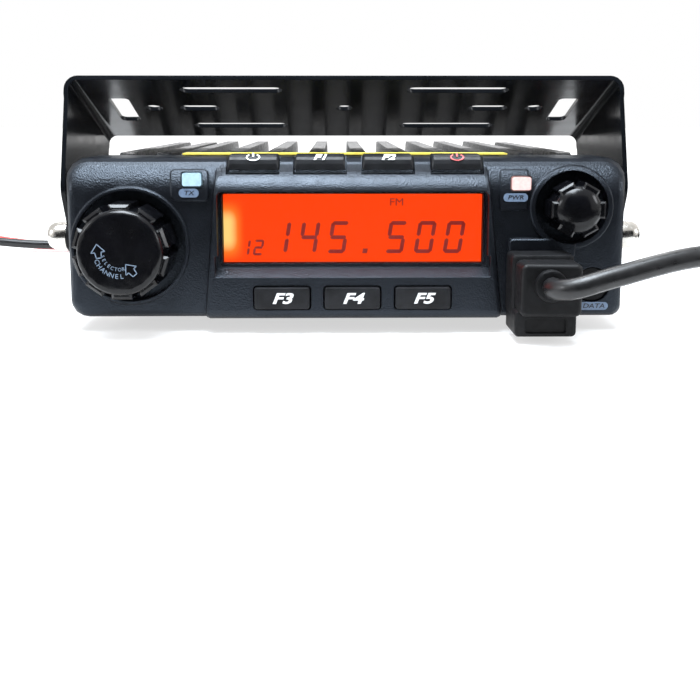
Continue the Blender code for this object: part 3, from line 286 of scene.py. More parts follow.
def powder_coat():
    """Black speckled powder coat with small bright glints."""
    made = Surface("powder_coat", (0.0075, 0.0075, 0.0085), 0.40)
    made.shader.inputs["Specular IOR Level"].default_value = 0.6
    made.mottle(2600.0, 0.5, 2.6, 0.42, 0.66)
    made.handled(900.0, 0.16)
    made.soft_edges(0.45)
    made.relief(made.noise(1900.0, 2.0), 0.75, 0.16)
    made.relief(made.cells(1500.0), 0.35, 0.10)
    return made.data


PANEL_SHOULDER_START = 34.5
PANEL_SHOULDER_RADIUS = 8.0


def textured_plastic():
    """Moulded black plastic with a fine grain that catches a cool light."""
    made = Surface("textured_plastic", (0.0045, 0.005, 0.0068), 0.36)
    made.shader.inputs["Specular IOR Level"].default_value = 0.42
    made.shader.inputs["Specular Tint"].default_value = (0.72, 0.84, 1.0, 1.0)
    made.mottle(90.0, 0.85, 1.2)
    made.handled(260.0, 0.06)
    made.soft_edges(0.35)
    made.shoulder(PANEL_SHOULDER_START, PANEL_SHOULDER_RADIUS)
    made.relief(made.cells(2300.0), 0.9, 0.06)
    made.relief(made.noise(3600.0, 2.0), 0.6, 0.05)
    return made.data


def smooth_plastic(name, colour, roughness, edge=0.25):
    """Satin moulded plastic with faint flow marks and handling."""
    made = Surface(name, colour, roughness)
    made.shader.inputs["Specular IOR Level"].default_value = 0.3
    made.mottle(140.0, 0.8, 1.3)
    made.handled(420.0, 0.08)
    made.soft_edges(edge)
    made.relief(made.noise(1500.0, 3.0), 0.10, 0.03)
    return made.data


def rubber(name, colour, roughness=0.58):
    """Matt rubber with fine pores and a dusty bloom."""
    made = Surface(name, colour, roughness)
    made.shader.inputs["Specular IOR Level"].default_value = 0.2
    made.mottle(220.0, 0.75, 1.5)
    made.handled(700.0, 0.07)
    made.soft_edges(0.25)
    made.relief(made.noise(2800.0, 3.0), 0.22, 0.05)
    return made.data


def painted_steel():
    """Glossy black paint on sheet steel, with slight orange peel."""
    made = Surface("painted_steel", (0.0035, 0.0042, 0.0055), 0.20)
    made.shader.inputs["Specular IOR Level"].default_value = 0.16
    made.mottle(60.0, 0.8, 1.3)
    made.handled(150.0, 0.05)
    made.soft_edges(0.25)
    made.relief(made.noise(420.0, 2.0), 0.10, 0.10)
    return made.data


def plated(name, colour, roughness, streak=(1.0, 1.0, 1.0)):
    """Plated metal with fine turning marks and slight tarnish."""
    made = Surface(name, colour, roughness, 1.0)
    made.mottle(260.0, 0.72, 1.08)
    made.handled(900.0, 0.09)
    made.soft_edges(0.2)
    made.relief(made.noise(1800.0, 2.0, streak), 0.16, 0.03)
    return made.data


LAMP_FADE = (1.2, 5.6)
LAMP_SPREAD = (2.0, 8.6)
LAMP_BELOW_MIDDLE = 0.6


def lit_display():
    """Back-lit orange-red display, brightest near the lamp at its left end."""
    made = Surface("lit_display", (0.10, 0.004, 0.001), 0.25)
    low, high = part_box("lcd_glass")
    parts = made.node("ShaderNodeSeparateXYZ")
    made.link(made.where, parts.inputs["Vector"])
    lamp = made.node("ShaderNodeMapRange", interpolation_type="SMOOTHSTEP")
    lamp.inputs["From Min"].default_value = low.x + LAMP_FADE[0] * MM
    lamp.inputs["From Max"].default_value = low.x + LAMP_FADE[1] * MM
    lamp.inputs["To Min"].default_value = 1.0
    lamp.inputs["To Max"].default_value = 0.0
    made.link(parts.outputs["X"], lamp.inputs["Value"])
    rise = made.node("ShaderNodeMath", operation="SUBTRACT")
    rise.inputs[1].default_value = (low.z + high.z) / 2 - LAMP_BELOW_MIDDLE * MM
    made.link(parts.outputs["Z"], rise.inputs[0])
    away = made.node("ShaderNodeMath", operation="ABSOLUTE")
    made.link(rise.outputs["Value"], away.inputs[0])
    middle = made.node("ShaderNodeMapRange", interpolation_type="SMOOTHSTEP")
    middle.inputs["From Min"].default_value = LAMP_SPREAD[0] * MM
    middle.inputs["From Max"].default_value = LAMP_SPREAD[1] * MM
    middle.inputs["To Min"].default_value = 1.0
    middle.inputs["To Max"].default_value = 0.0
    made.link(away.outputs["Value"], middle.inputs["Value"])
    both = made.node("ShaderNodeMath", operation="MULTIPLY")
    made.link(lamp.outputs["Result"], both.inputs[0])
    made.link(middle.outputs["Result"], both.inputs[1])
    glow = made.node("ShaderNodeValToRGB")
    glow.color_ramp.elements[0].color = (1.0, 0.058, 0.003, 1.0)
    glow.color_ramp.elements[1].color = (1.0, 0.72, 0.22, 1.0)
    warm = glow.color_ramp.elements.new(0.45)
    warm.color = (1.0, 0.20, 0.02, 1.0)
    made.link(both.outputs["Value"], glow.inputs["Fac"])
    made.link(glow.outputs["Color"], made.shader.inputs["Emission Color"])
    made.shader.inputs["Emission Strength"].default_value = 1.0
    made.shader.inputs["Specular IOR Level"].default_value = 0.05
    made.relief(made.noise(500.0, 2.0), 0.04, 0.02)
    return made.data


def lit_pipe(name, colour, glow, strength):
    """Clear moulded light pipe, lit from behind."""
    made = Surface(name, colour, 0.28)
    made.shader.inputs["Emission Color"].default_value = (*glow, 1.0)
    made.shader.inputs["Emission Strength"].default_value = strength
    made.shader.inputs["Coat Weight"].default_value = 0.4
    made.mottle(900.0, 0.85, 1.1)
    made.soft_edges(0.2)
    made.relief(made.noise(900.0, 2.0), 0.12, 0.04)
    return made.data


def clear_window():
    """Thin clear plastic over the display, nearly invisible face on."""
    made = Surface("clear_window", (0.02, 0.01, 0.01), 0.06)
    made.shader.inputs["Alpha"].default_value = 0.03
    made.shader.inputs["Specular IOR Level"].default_value = 0.35
    made.handled(300.0, 0.03)
    made.relief(made.noise(300.0, 2.0), 0.03, 0.02)
    return made.data


def print_ink(name, colour, roughness=0.45):
    """Screen-printed ink: almost even, slightly uneven in cover."""
    made = Surface(name, colour, roughness)
    made.mottle(1500.0, 0.88, 1.06)
    made.handled(1200.0, 0.08)
    made.relief(made.noise(4000.0, 2.0), 0.12, 0.02)
    return made.data


def wire_jacket(name, colour, roughness):
    """Extruded PVC jacket with faint waviness and scuffs."""
    made = Surface(name, colour, roughness)
    made.mottle(300.0, 0.85, 1.25)
    made.handled(500.0, 0.10)
    made.relief(made.noise(240.0, 3.0), 0.14, 0.12)
    made.relief(made.noise(3200.0, 2.0), 0.10, 0.03)
    return made.data


def laminate():
    """Green solder mask over copper tracks."""
    made = Surface("laminate", (0.012, 0.11, 0.045), 0.32)
    made.mottle(700.0, 0.75, 1.5, 0.47, 0.53)
    made.handled(600.0, 0.08)
    made.relief(made.noise(700.0, 1.0), 0.2, 0.06)
    return made.data


def make_looks():
    """Every material by the record's slot name."""
    return {
        "black_powder_coat": powder_coat(),
        "black_textured_plastic": textured_plastic(),
        "black_knob_plastic": smooth_plastic("knob_plastic", (0.0025, 0.0026, 0.0034), 0.20),
        "charcoal_key_rubber": rubber("key_rubber", (0.009, 0.0095, 0.011), 0.42),
        "black_painted_steel": painted_steel(),
        "nickel_plated_steel": plated("nickel_plate", (0.74, 0.71, 0.66), 0.22),
        "copper_plating": plated("copper_plate", (0.78, 0.47, 0.35), 0.33),
        "dark_red_resin": smooth_plastic("red_resin", (0.22, 0.012, 0.018), 0.42),
        "pale_gold_plating": plated("gold_plate", (0.86, 0.72, 0.50), 0.26),
        "black_soft_rubber": rubber("soft_rubber", (0.0045, 0.0046, 0.0052), 0.50),
        "green_circuit_laminate": laminate(),
        "tin_plate": plated("tin_plate", (0.62, 0.63, 0.64), 0.34),
        "red_wire_jacket": wire_jacket("red_jacket", (0.78, 0.008, 0.008), 0.30),
        "black_wire_jacket": wire_jacket("black_jacket", (0.006, 0.006, 0.0066), 0.36),
        "clear_window_plastic": clear_window(),
        "orange_lit_display": lit_display(),
        "white_light_guide": smooth_plastic("light_guide", (0.8, 0.8, 0.78), 0.35),
        "tx_light_pipe_plastic": lit_pipe("tx_pipe", (0.30, 0.44, 0.54), (0.45, 0.70, 0.85), 0.30),
        "power_light_pipe_plastic": lit_pipe("power_pipe", (0.70, 0.42, 0.40), (1.0, 0.60, 0.56),
                                             0.45),
        "black_label_film": smooth_plastic("label_film", (0.012, 0.012, 0.015), 0.30),
        "yellow_label_film": print_ink("yellow_film", (0.80, 0.66, 0.10), 0.38),
        "black_module_resin": smooth_plastic("module_resin", (0.02, 0.02, 0.02), 0.45),
        "loudspeaker_paper": rubber("speaker_paper", (0.04, 0.04, 0.042), 0.75),
        "black_shell_plastic": smooth_plastic("shell_plastic", (0.017, 0.017, 0.019), 0.46, 0.5),
    }


def dress_nodes(looks):
    """Put the materials and round shading on the CAD nodes."""
    slots = {part["node"]: part["material_slot"] for part in frame["record"]["subparts"]}
    for name, node in NODES.items():
        node.data.materials.clear()
        node.data.materials.append(looks[slots[name]])
        smooth_normals(node)


# ---------------------------------------------------------------- cords

DC_WIRE_DIAMETER = 3.5
MIC_CORD_DIAMETER = 5.0
CURL_DIAMETER = 15.0
CURL_PITCH = 5.6
CURL_STEPS = 14
CURL_OPENING_TURNS = 1.5
CURVE_STEPS = 40
DC_POINT_SPACING = 4.0
MIC_POINT_SPACING = 2.5
RED_ROUTE = (
    (61.8, 139.9, 15.9), (61.8, 145.0, 15.9), (66.5, 153.0, 15.0), (77.0, 160.5, 11.5),
    (89.0, 166.5, 6.0), (97.0, 173.5, 2.4), (98.0, 181.0, 1.9), (88.0, 187.3, 1.9),
    (66.0, 187.2, 1.9), (30.0, 181.0, 1.9), (-10.0, 174.6, 1.9), (-55.0, 168.5, 1.9),
    (-100.0, 164.5, 1.9), (-122.0, 163.8, 2.2), (-134.0, 163.9, 3.4), (-144.9, 164.0, 5.0),
)
BLACK_ROUTE = (
    (61.8, 139.9, 11.3), (61.8, 144.0, 11.3), (66.3, 149.6, 10.2), (75.4, 156.4, 6.8),
    (83.4, 162.6, 3.2), (88.2, 169.8, 1.9), (88.0, 176.6, 1.9), (81.0, 181.8, 1.9),
    (66.0, 182.6, 1.9), (30.0, 176.5, 1.9), (-10.0, 170.1, 1.9), (-55.0, 164.0, 2.5),
    (-100.0, 160.0, 2.9), (-122.0, 158.9, 3.1), (-134.0, 158.6, 3.9), (-144.9, 158.5, 5.0),
)
MIC_ROUTE = (
    (48.6, -19.4, 14.9), (48.6, -22.8, 14.9), (52.4, -26.4, 15.8), (61.5, -26.0, 18.4),
    (80.6, -22.4, 22.4), (98.0, -19.0, 22.2), (114.0, -15.8, 16.2), (128.0, -13.2, 9.6),
    (141.2, -12.0, 7.8),
)
CURL_ROUTE = (
    (142.0, -12.0, 7.8), (160.0, -12.3, 7.8), (195.0, -16.0, 7.8), (228.0, -6.0, 7.8),
    (246.0, 22.0, 7.8), (250.0, 60.0, 7.8), (246.0, 98.0, 7.8), (231.8, 126.6, 7.8),
)
TAIL_ROUTE = (
    (231.2, 127.6, 7.8), (222.0, 138.0, 8.6), (207.0, 143.6, 11.0), (193.0, 139.4, 13.6),
    (190.0, 133.6, 14.0), (190.0, 129.4, 14.0),
)


def smooth_path(route, spacing):
    """Points at an even spacing along a smooth curve through a route's own points."""
    nodes = [place(*point) for point in route]
    nodes = [nodes[0] * 2 - nodes[1]] + nodes + [nodes[-1] * 2 - nodes[-2]]
    dense = []
    for index in range(1, len(nodes) - 2):
        p0, p1, p2, p3 = nodes[index - 1:index + 3]
        for step in range(CURVE_STEPS):
            t = step / CURVE_STEPS
            pull = (p2 - p0) * t
            bend = (p0 * 2 - p1 * 5 + p2 * 4 - p3) * t ** 2
            twist = (p1 * 3 - p0 - p2 * 3 + p3) * t ** 3
            dense.append((p1 * 2 + pull + bend + twist) / 2)
    dense.append(nodes[-2])
    travelled = [0.0]
    for here, there in zip(dense, dense[1:]):
        travelled.append(travelled[-1] + (there - here).length)
    count = max(2, round(travelled[-1] / (spacing * MM)))
    points = []
    index = 0
    for step in range(count + 1):
        goal = travelled[-1] * step / count
        while index < len(dense) - 2 and travelled[index + 1] < goal:
            index += 1
        stretch = travelled[index + 1] - travelled[index]
        share = (goal - travelled[index]) / stretch
        points.append(dense[index].lerp(dense[index + 1], share))
    return points


def curled_path():
    """Helix around the curled stretch, opening from its ends to full width."""
    axis = smooth_path(CURL_ROUTE, CURL_PITCH / CURL_STEPS)
    radius = (CURL_DIAMETER - MIC_CORD_DIAMETER) / 2 * MM
    ramp = CURL_OPENING_TURNS * CURL_STEPS
    points = []
    for index, centre in enumerate(axis):
        ahead = axis[min(index + 1, len(axis) - 1)] - axis[max(index - 1, 0)]
        along = ahead.normalized()
        side = along.cross(Vector((0.0, 0.0, 1.0))).normalized()
        up = side.cross(along).normalized()
        open_share = min(1.0, index / ramp, (len(axis) - 1 - index) / ramp)
        width = radius * math.sin(open_share * math.pi / 2)
        turn = 2 * math.pi * index / CURL_STEPS
        points.append(centre + (side * math.cos(turn) + up * math.sin(turn)) * width)
    return points


def cord_piece(name, points, diameter, body, look, resolution=4):
    """Round cord through points, as one open spline with closed ends."""
    data = bpy.data.curves.new(name, "CURVE")
    data.dimensions = "3D"
    data.bevel_depth = diameter / 2 * MM
    data.bevel_resolution = resolution
    data.use_fill_caps = True
    spline = data.splines.new("POLY")
    spline.points.add(len(points) - 1)
    for point, where in zip(spline.points, points):
        point.co = (*where, 1.0)
    spline.use_smooth = True
    return new_piece(name, data, body, look)


def make_cords(looks):
    """DC lead of two wires and the microphone's cord, as round cords along their routes in place of
    the hidden CAD cords.
    """
    for name, node, route, slot in (
        ("dc_wire_red", "dc_lead_red", RED_ROUTE, "red_wire_jacket"),
        ("dc_wire_black", "dc_lead_black", BLACK_ROUTE, "black_wire_jacket"),
    ):
        points = smooth_path(route, DC_POINT_SPACING)
        piece = cord_piece(name, points, DC_WIRE_DIAMETER, RADIO, looks[slot])
        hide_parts(node)
    straight = smooth_path(MIC_ROUTE, MIC_POINT_SPACING)
    tail = smooth_path(TAIL_ROUTE, MIC_POINT_SPACING)
    points = straight + curled_path() + tail
    piece = cord_piece("mic_cord_whole", points, MIC_CORD_DIAMETER, RADIO,
                       looks["black_wire_jacket"])
    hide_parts("mic_cord", "mic_cord_curl", "mic_cord_tail")


# ---------------------------------------------------------------- display and legends

SEGMENTS = {
    "0": "abcdef", "1": "bc", "2": "abged", "3": "abgcd", "4": "fgbc", "5": "afgcd",
    "6": "afgedc", "7": "abc", "8": "abcdefg", "9": "abcdfg", ".": "p",
}
DISPLAY_FRONT = 3.25
SLANT = 0.16
CHARACTER_THICK = 0.05
CORNER_GAP = 0.28
BAR_NIP = 0.42
DOT_SIZE = 1.25
# words, place from the glass's lower left corner, size, pitch, bar thickness
DISPLAY_TEXTS = (
    ("12", (3.9, 1.7), (2.4, 4.0), 3.4, 0.55),
    ("145.500", (11.4, 2.2), (4.6, 8.2), 7.4, 0.95),
)
MODE_AT = (44.0, 15.2)
MODE_SIZE = 2.6
MODE_RECESS = 0.02
LETTER_THICK = 0.04
LETTER_STEPS = 4
ARC_LETTER_THICK = 0.06
ARC_LETTER_STEPS = 2


def segment_bars(width, height, thick):
    """The seven bars of one character, as outlines, and its point."""
    half = height / 2
    gap = thick * CORNER_GAP
    bars = {
        "a": ((gap, height), (width - gap, height), (0, -1)),
        "g": ((gap, half + thick / 2), (width - gap, half + thick / 2), (0, -1)),
        "d": ((gap, thick), (width - gap, thick), (0, -1)),
        "f": ((0, half + gap), (0, height - gap), (1, 0)),
        "b": ((width - thick, half + gap), (width - thick, height - gap), (1, 0)),
        "e": ((0, gap), (0, half - gap), (1, 0)),
        "c": ((width - thick, gap), (width - thick, half - gap), (1, 0)),
    }
    outlines = {}
    for key, (start, end, side) in bars.items():
        nip = thick * BAR_NIP
        if side[0]:
            outlines[key] = [
                (start[0], start[1] + nip), (start[0] + thick / 2, start[1]),
                (start[0] + thick, start[1] + nip), (end[0] + thick, end[1] - nip),
                (end[0] + thick / 2, end[1]), (end[0], end[1] - nip),
            ]
        else:
            outlines[key] = [
                (start[0] + nip, start[1]), (start[0], start[1] - thick / 2),
                (start[0] + nip, start[1] - thick), (end[0] - nip, end[1] - thick),
                (end[0], end[1] - thick / 2), (end[0] - nip, end[1]),
            ]
    dot = thick * DOT_SIZE
    middle = width / 2
    outlines["p"] = [(middle - dot / 2, 0), (middle + dot / 2, 0), (middle + dot / 2, dot),
                     (middle - dot / 2, dot)]
    return outlines


def add_characters(shape, text, corner, size, pitch, thick):
    """Slanted segment characters on the display."""
    left, bottom = corner
    width, height = size
    outlines = segment_bars(width, height, thick)
    for number, letter in enumerate(text):
        for key in SEGMENTS[letter]:
            outline = [
                (left + number * pitch + x + z * SLANT, bottom + z) for x, z in outlines[key]
            ]
            prism(shape, outline, DISPLAY_FRONT - CHARACTER_THICK, DISPLAY_FRONT)


def letter_mesh(words, size, thick, steps, shear=0.0, weight=0.0):
    """Mesh of thin letters, centred on the origin and lying flat."""
    data = bpy.data.curves.new("letters", "FONT")
    data.body = words
    data.size = size * MM
    data.align_x = "CENTER"
    data.align_y = "CENTER"
    data.shear = shear
    data.offset = weight * MM
    data.extrude = thick / 2 * MM
    data.resolution_u = steps
    letters = bpy.data.objects.new("letters", data)
    bpy.context.scene.collection.objects.link(letters)
    bpy.context.view_layer.update()
    shown = letters.evaluated_get(bpy.context.evaluated_depsgraph_get())
    mesh = bpy.data.meshes.new_from_object(shown)
    bpy.data.objects.remove(letters, do_unlink=True)
    bpy.data.curves.remove(data)
    return mesh


def text_piece(name, words, size, centre, turn, body, look, shear=0.0, weight=0.0,
               stretch=1.0):
    """Printed letters as thin geometry, centred on a point; turn is its rotation."""
    mesh = letter_mesh(words, size, LETTER_THICK, LETTER_STEPS, shear, weight)
    mesh.transform(
        Matrix.Translation(place(*centre)) @ turn.to_4x4() @ Matrix.Diagonal((stretch, 1, 1, 1))
    )
    return new_piece(name, mesh, body, look)


def display_characters():
    """Channel number, frequency and mode, in dark red."""
    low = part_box("lcd_glass")[0]
    left = low.x / MM
    bottom = low.z / MM
    shape = bmesh.new()
    for words, (across, up), size, pitch, thick in DISPLAY_TEXTS:
        add_characters(shape, words, (left + across, bottom + up), size, pitch, thick)
    ink = print_ink("display_ink", (0.05, 0.002, 0.001), 0.5)
    shader = ink.node_tree.nodes["Principled BSDF"]
    shader.inputs["Emission Color"].default_value = (0.36, 0.010, 0.004, 1.0)
    shader.inputs["Emission Strength"].default_value = 0.6
    new_piece("display_characters", mesh_from(shape), RADIO, ink)
    mode_at = (left + MODE_AT[0], DISPLAY_FRONT - MODE_RECESS, bottom + MODE_AT[1])
    text_piece("display_mode", "FM", MODE_SIZE, mode_at, FACING_FRONT, RADIO,
               ink, stretch=1.15)


# words, centre, size of the plate, height of the letters
PILLS = (
    ("TX", (-39.4, 1.74, 35.6), (5.0, 2.2), 1.55),
    ("PWR", (43.0, 1.74, 34.4), (6.2, 2.1), 1.5),
    ("DATA", (63.9, 2.36, 6.4), (7.4, 2.1), 1.7),
)
PILL_TILT = {"DATA": 4.0}
PILL_ROUNDNESS = 0.95
PILL_THICK = 0.06
PILL_LETTER_RISE = 0.1


def pills(dark):
    """Small pale name plates printed by the lights and the data socket."""
    ink = print_ink("pale_blue_ink", (0.13, 0.19, 0.29))
    for words, centre, size, height in PILLS:
        turn = Matrix.Rotation(math.radians(90.0 + PILL_TILT.get(words, 0.0)), 3, "X")
        shape = bmesh.new()
        half = (size[0] / 2, size[1] / 2)
        outline = rounded_box((-half[0], half[0]), (-half[1], half[1]), half[1] * PILL_ROUNDNESS, 6)
        low = [shape.verts.new((x * MM, z * MM, 0.0)) for x, z in outline]
        high = [shape.verts.new((x * MM, z * MM, PILL_THICK * MM)) for x, z in outline]
        close_prism(shape, low, high)
        pose = Matrix.Translation(place(*centre)) @ turn.to_4x4()
        shape.transform(pose)
        new_piece(f"pill_{words}", mesh_from(shape), RADIO, ink)
        forward = pose @ Vector((0.0, 0.0, PILL_LETTER_RISE * MM))
        front = (forward.x / MM, forward.y / MM + ORIGIN_DEPTH, forward.z / MM)
        text_piece(f"name_{words}", words, height, front, turn, RADIO, dark,
                   shear=0.15, weight=0.02, stretch=1.25)


def letters_on_arc(shape, words, centre, radius, middle, size, spread):
    """Add letters that stand along an arc, their feet towards its outside."""
    x, depth, z = centre
    for number, letter in enumerate(words):
        angle = math.radians(middle + (number - (len(words) - 1) / 2) * spread)
        at = (x + radius * math.cos(angle), depth, z + radius * math.sin(angle))
        mesh = letter_mesh(letter, size, ARC_LETTER_THICK, ARC_LETTER_STEPS)
        lean = Matrix.Rotation(-(angle + math.pi / 2), 4, "Y")
        mesh.transform(Matrix.Translation(place(*at)) @ lean @ FACING_FRONT.to_4x4())
        shape.from_mesh(mesh)
        bpy.data.meshes.remove(mesh)


# words, radius of their arc, height of the letters, angle between letters
KNOB_WORDS = (("CHANNEL", 5.7, 1.65, 12.5), ("SELECTOR", 4.0, 1.25, 13.5))
KNOB_WORDS_MIDDLE = 238.0
# place around the knob and lean of each arrow
KNOB_ARROWS = ((176.0, 8.0), (304.0, 40.0))
ARROW_RADIUS = 5.0
ARROW_HALF_LINE = 0.11
ARROW_OUTLINE = (
    (0.0, 1.9), (1.7, -0.1), (0.8, -0.1), (0.6, -1.5), (-0.6, -1.5), (-0.8, -0.1), (-1.7, -0.1),
)
KNOB_PRINT_RISE = 0.02
ARROW_RISE = 0.03


def knob_marks():
    """Two outlined arrows and the function's name on the selector's face."""
    low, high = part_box("channel_knob")
    x = (low.x + high.x) / 2 / MM
    z = (low.z + high.z) / 2 / MM
    face = low.y / MM + ORIGIN_DEPTH - KNOB_PRINT_RISE
    ink = print_ink("grey_blue_ink", (0.16, 0.22, 0.30))
    shape = bmesh.new()
    for words, radius, size, spread in KNOB_WORDS:
        letters_on_arc(shape, words, (x, face, z), radius, KNOB_WORDS_MIDDLE, size, spread)
    for turn, slant in KNOB_ARROWS:
        angle = math.radians(turn)
        centre = (x + ARROW_RADIUS * math.cos(angle), z + ARROW_RADIUS * math.sin(angle))
        lean = math.radians(slant)
        points = []
        for across, up in ARROW_OUTLINE:
            points.append((centre[0] + across * math.cos(lean) - up * math.sin(lean),
                           centre[1] + across * math.sin(lean) + up * math.cos(lean)))
        for start, end in zip(points, points[1:] + points[:1]):
            line = Vector((end[0] - start[0], end[1] - start[1]))
            side = Vector((-line.y, line.x)).normalized() * ARROW_HALF_LINE
            prism(shape, [(start[0] + side.x, start[1] + side.y),
                          (start[0] - side.x, start[1] - side.y),
                          (end[0] - side.x, end[1] - side.y),
                          (end[0] + side.x, end[1] + side.y)], face - ARROW_RISE,
                  face + KNOB_PRINT_RISE)
    new_piece("knob_marks", mesh_from(shape), "channel_selector", ink)


LEGEND_SHEAR = 0.28
LEGEND_STRETCH = 1.4
LOWER_LEGEND_SIZE = 3.7
UPPER_LEGEND_SIZE = 2.5
UPPER_KEY_SLOPE = 45.0
SYMBOL_TURNS = 28
SYMBOL_GAP = 3
SYMBOL_RADII = (0.90, 1.18)
SYMBOL_BAR = ((-0.14, 0.2), (0.14, 0.2), (0.14, 1.4), (-0.14, 1.4))
SYMBOL_STRETCH = 1.5
SYMBOL_BEHIND = 0.68
SYMBOL_BELOW = 0.72


def open_ring(radius):
    """Points in metres around a ring that is open at its top."""
    points = []
    for step in range(SYMBOL_GAP, SYMBOL_TURNS - SYMBOL_GAP + 1):
        angle = math.pi / 2 + 2 * math.pi * step / SYMBOL_TURNS
        points.append((radius * MM * math.cos(angle), radius * MM * math.sin(angle)))
    return points


def key_legends(white, red):
    """Generic function marks on the seven keys."""
    for key, words in (("key_f3", "F3"), ("key_f4", "F4"), ("key_f5", "F5")):
        low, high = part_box(key)
        centre = ((low.x + high.x) / 2 / MM, low.y / MM + ORIGIN_DEPTH - 0.03,
                  (low.z + high.z) / 2 / MM - 0.1)
        text_piece(f"legend_{key}", words, LOWER_LEGEND_SIZE, centre, FACING_FRONT, key,
                   white, shear=LEGEND_SHEAR, weight=0.11,
                   stretch=LEGEND_STRETCH)
    slope = Matrix.Rotation(math.radians(UPPER_KEY_SLOPE), 3, "X")
    for key, words in (("key_f1", "F1"), ("key_f2", "F2")):
        low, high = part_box(key)
        centre = ((low.x + high.x) / 2 / MM, low.y / MM + ORIGIN_DEPTH + 0.72,
                  high.z / MM - 0.78)
        text_piece(f"legend_{key}", words, UPPER_LEGEND_SIZE, centre, slope, key,
                   white, shear=LEGEND_SHEAR, weight=0.08,
                   stretch=LEGEND_STRETCH)
    for key, ink in (("key_menu", white), ("key_power", red)):
        low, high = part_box(key)
        x = (low.x + high.x) / 2
        shape = bmesh.new()
        inner, outer = (open_ring(radius) for radius in SYMBOL_RADII)
        for i in range(len(outer) - 1):
            corners = (outer[i], outer[i + 1], inner[i + 1], inner[i])
            shape.faces.new([shape.verts.new((a, u, 0.0)) for a, u in corners])
        shape.faces.new([shape.verts.new((a * MM, u * MM, 0.0)) for a, u in SYMBOL_BAR])
        at = (x, low.y + SYMBOL_BEHIND * MM, high.z - SYMBOL_BELOW * MM)
        shape.transform(Matrix.Translation(at) @ slope.to_4x4()
                        @ Matrix.Diagonal((SYMBOL_STRETCH, 1.0, 1.0, 1.0)))
        new_piece(f"symbol_{key}", mesh_from(shape), key, ink)


RING_TEETH = 36
TOOTH_TIP = (8.75, 0.1, 0.5)
TOOTH_ROOT = (8.05, 0.6, 0.9)
RING_BORE = 6.35
RING_DEPTH = (144.4, 146.3)
THREAD_RADIUS = 7.5
THREAD_START = 136.0
THREAD_LENGTH = 4.6
THREAD_TURNS = 5
THREAD_STEPS = 32
THREAD_RIDGE = 0.55


def connector_ring():
    """Toothed and threaded silver ring around the antenna connector's barrel."""
    low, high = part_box("antenna_insulator")
    x = (low.x + high.x) / 2 / MM
    z = (low.z + high.z) / 2 / MM
    shape = bmesh.new()
    outline = []
    for number in range(RING_TEETH * 2):
        radius, *parts = TOOTH_TIP if number % 2 == 0 else TOOTH_ROOT
        for part in parts:
            angle = 2 * math.pi * (number / 2 + part / 2) / RING_TEETH
            outline.append((x + radius * math.cos(angle), z + radius * math.sin(angle)))
    inside = []
    for across, up in outline:
        angle = math.atan2(up - z, across - x)
        inside.append((x + RING_BORE * math.cos(angle), z + RING_BORE * math.sin(angle)))
    near, far = RING_DEPTH
    rings = []
    for points, depth in ((outline, near), (outline, far), (inside, far), (inside, near)):
        rings.append([shape.verts.new(place(a, depth, b)) for a, b in points])
    for index in range(4):
        here = rings[index]
        there = rings[(index + 1) % 4]
        for i in range(len(here)):
            j = (i + 1) % len(here)
            shape.faces.new((here[i], here[j], there[j], there[i]))
    silver = plated("silver_plate", (0.80, 0.79, 0.77), 0.24)
    new_piece("antenna_ring", mesh_from(shape), RADIO, silver)
    thread = []
    for step in range(THREAD_TURNS * THREAD_STEPS + 1):
        angle = 2 * math.pi * step / THREAD_STEPS
        depth = THREAD_START + THREAD_LENGTH * step / (THREAD_TURNS * THREAD_STEPS)
        thread.append(place(x + THREAD_RADIUS * math.cos(angle), depth,
                            z + THREAD_RADIUS * math.sin(angle)))
    cord_piece("antenna_thread", thread, THREAD_RIDGE, RADIO, silver, 2)


# ---------------------------------------------------------------- studio

# name, place, aim, size, power, colour
LIGHTS = (
    ("overhead", (-0.06, -0.14, 0.62), (0.0, -0.06, 0.02), 0.40, 12.5, (0.84, 0.92, 1.0)),
    ("left", (-0.75, -0.25, 0.35), (0.0, -0.03, 0.03), 0.25, 1.6, (0.93, 0.96, 1.0)),
    ("right", (0.75, -0.25, 0.35), (0.0, -0.03, 0.03), 0.25, 1.6, (0.93, 0.96, 1.0)),
    ("back", (0.0, 0.7, 0.7), (0.0, 0.05, 0.03), 0.6, 6.0, (1.0, 1.0, 1.0)),
)
# name, place, size, tilt
DARK_CARDS = (
    ("dark_card_low", (0.0, -0.66, 0.0006), (2.0, 1.06, 1.0), 0.0),
    ("dark_card_front", (0.0, -1.19, 0.55), (2.0, 1.1, 1.0), 90.0),
)
FLOOR_SIZE = 8.0
FLOOR_BELOW = 0.0002
FLOOR_FADE = (0.32, 0.9)
FLOOR_GLOW = (0.62, 1.0)
SKY_FADE = (0.05, 0.75)
SKY_GLOW = (0.80, 1.0)


def fade_between(node, reach, values):
    """Set a map range's two ends and what it gives there."""
    node.inputs["From Min"].default_value, node.inputs["From Max"].default_value = reach
    node.inputs["To Min"].default_value, node.inputs["To Max"].default_value = values


def area_light(name, at, aim, size, power, colour):
    """Soft square light aimed at a point."""
    data = bpy.data.lights.new(name, "AREA")
    data.size = size
    data.energy = power
    data.color = colour
    lamp = bpy.data.objects.new(name, data)
    lamp.location = at
    lamp.rotation_euler = (Vector(aim) - Vector(at)).to_track_quat("-Z", "Y").to_euler()
    bpy.context.scene.collection.objects.link(lamp)


def dark_card(name, at, size, tilt, look):
    """Dark card that only shows in reflections, to keep the glossy black fronts dark."""
    bpy.ops.mesh.primitive_plane_add(size=1.0, location=at)
    card = bpy.context.object
    card.name = name
    card.scale = size
    card.rotation_euler = (math.radians(tilt), 0.0, 0.0)
    card.data.materials.append(look)
    card.visible_camera = False
    card.visible_diffuse = False
    card.visible_shadow = False
    card.visible_transmission = False


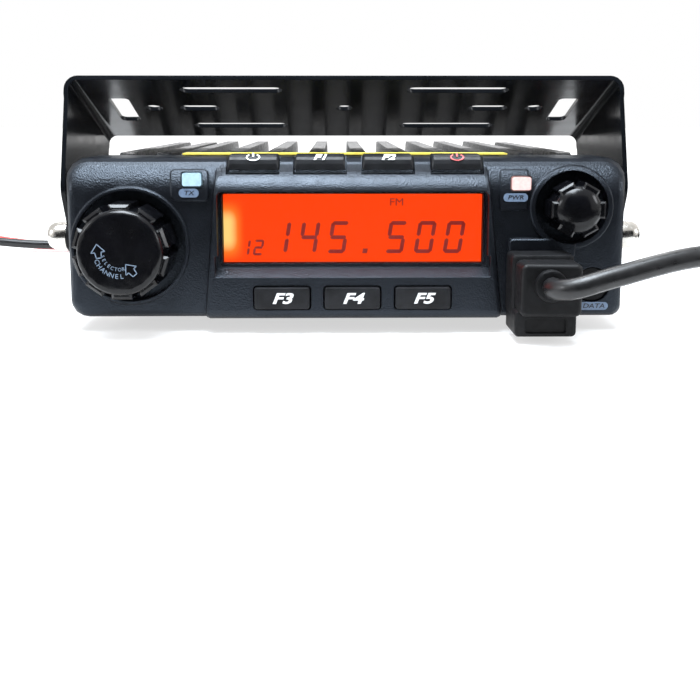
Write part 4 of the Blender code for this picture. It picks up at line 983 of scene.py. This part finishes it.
def make_floor():
    """Pale floor that gives some light itself, more further out."""
    bpy.ops.mesh.primitive_plane_add(size=FLOOR_SIZE, location=(0.0, 0.0, -FLOOR_BELOW))
    floor = bpy.context.object
    floor.name = "floor"
    look = Surface("floor_paper", (0.42, 0.42, 0.42), 0.95)
    look.shader.inputs["Specular IOR Level"].default_value = 0.1
    look.mottle(3.0, 0.99, 1.01)
    look.relief(look.noise(400.0), 0.02, 0.05)
    away = look.node("ShaderNodeVectorMath", operation="LENGTH")
    look.link(look.where, away.inputs[0])
    fade = look.node("ShaderNodeMapRange", interpolation_type="SMOOTHSTEP")
    fade_between(fade, FLOOR_FADE, FLOOR_GLOW)
    look.link(away.outputs["Value"], fade.inputs["Value"])
    look.shader.inputs["Emission Color"].default_value = (1.0, 1.0, 1.0, 1.0)
    look.link(fade.outputs["Result"], look.shader.inputs["Emission Strength"])
    floor.data.materials.append(look.data)


def make_sky():
    """White surroundings behind the radio, slightly grey before it."""
    world = bpy.data.worlds.new("studio")
    bpy.context.scene.world = world
    world.use_nodes = True
    tree = world.node_tree
    background = tree.nodes["Background"]
    where = tree.nodes.new("ShaderNodeTexCoord")
    parts = tree.nodes.new("ShaderNodeSeparateXYZ")
    span = tree.nodes.new("ShaderNodeMapRange")
    fade_between(span, SKY_FADE, SKY_GLOW)
    tree.links.new(where.outputs["Generated"], parts.inputs["Vector"])
    tree.links.new(parts.outputs["Y"], span.inputs["Value"])
    tree.links.new(span.outputs["Result"], background.inputs["Strength"])
    background.inputs["Color"].default_value = (1.0, 1.0, 1.0, 1.0)


def make_studio():
    """Floor, dark cards, surroundings and soft lights."""
    make_floor()
    felt = rubber("card_felt", (0.004, 0.004, 0.005), 0.9)
    for card in DARK_CARDS:
        dark_card(*card, felt)
    make_sky()
    for light in LIGHTS:
        area_light(*light)
    bpy.context.scene.view_settings.view_transform = "Standard"


# ---------------------------------------------------------------- build

def build():
    """Make everything, in the order camera, cords, looks, studio."""
    make_camera()
    looks = make_looks()
    make_cords(looks)
    dress_nodes(looks)
    white = print_ink("white_ink", (0.85, 0.86, 0.88))
    red = print_ink("red_ink", (0.55, 0.02, 0.02))
    display_characters()
    key_legends(white, red)
    pills(print_ink("dark_ink", (0.01, 0.012, 0.018)))
    knob_marks()
    connector_ring()
    make_studio()


build()
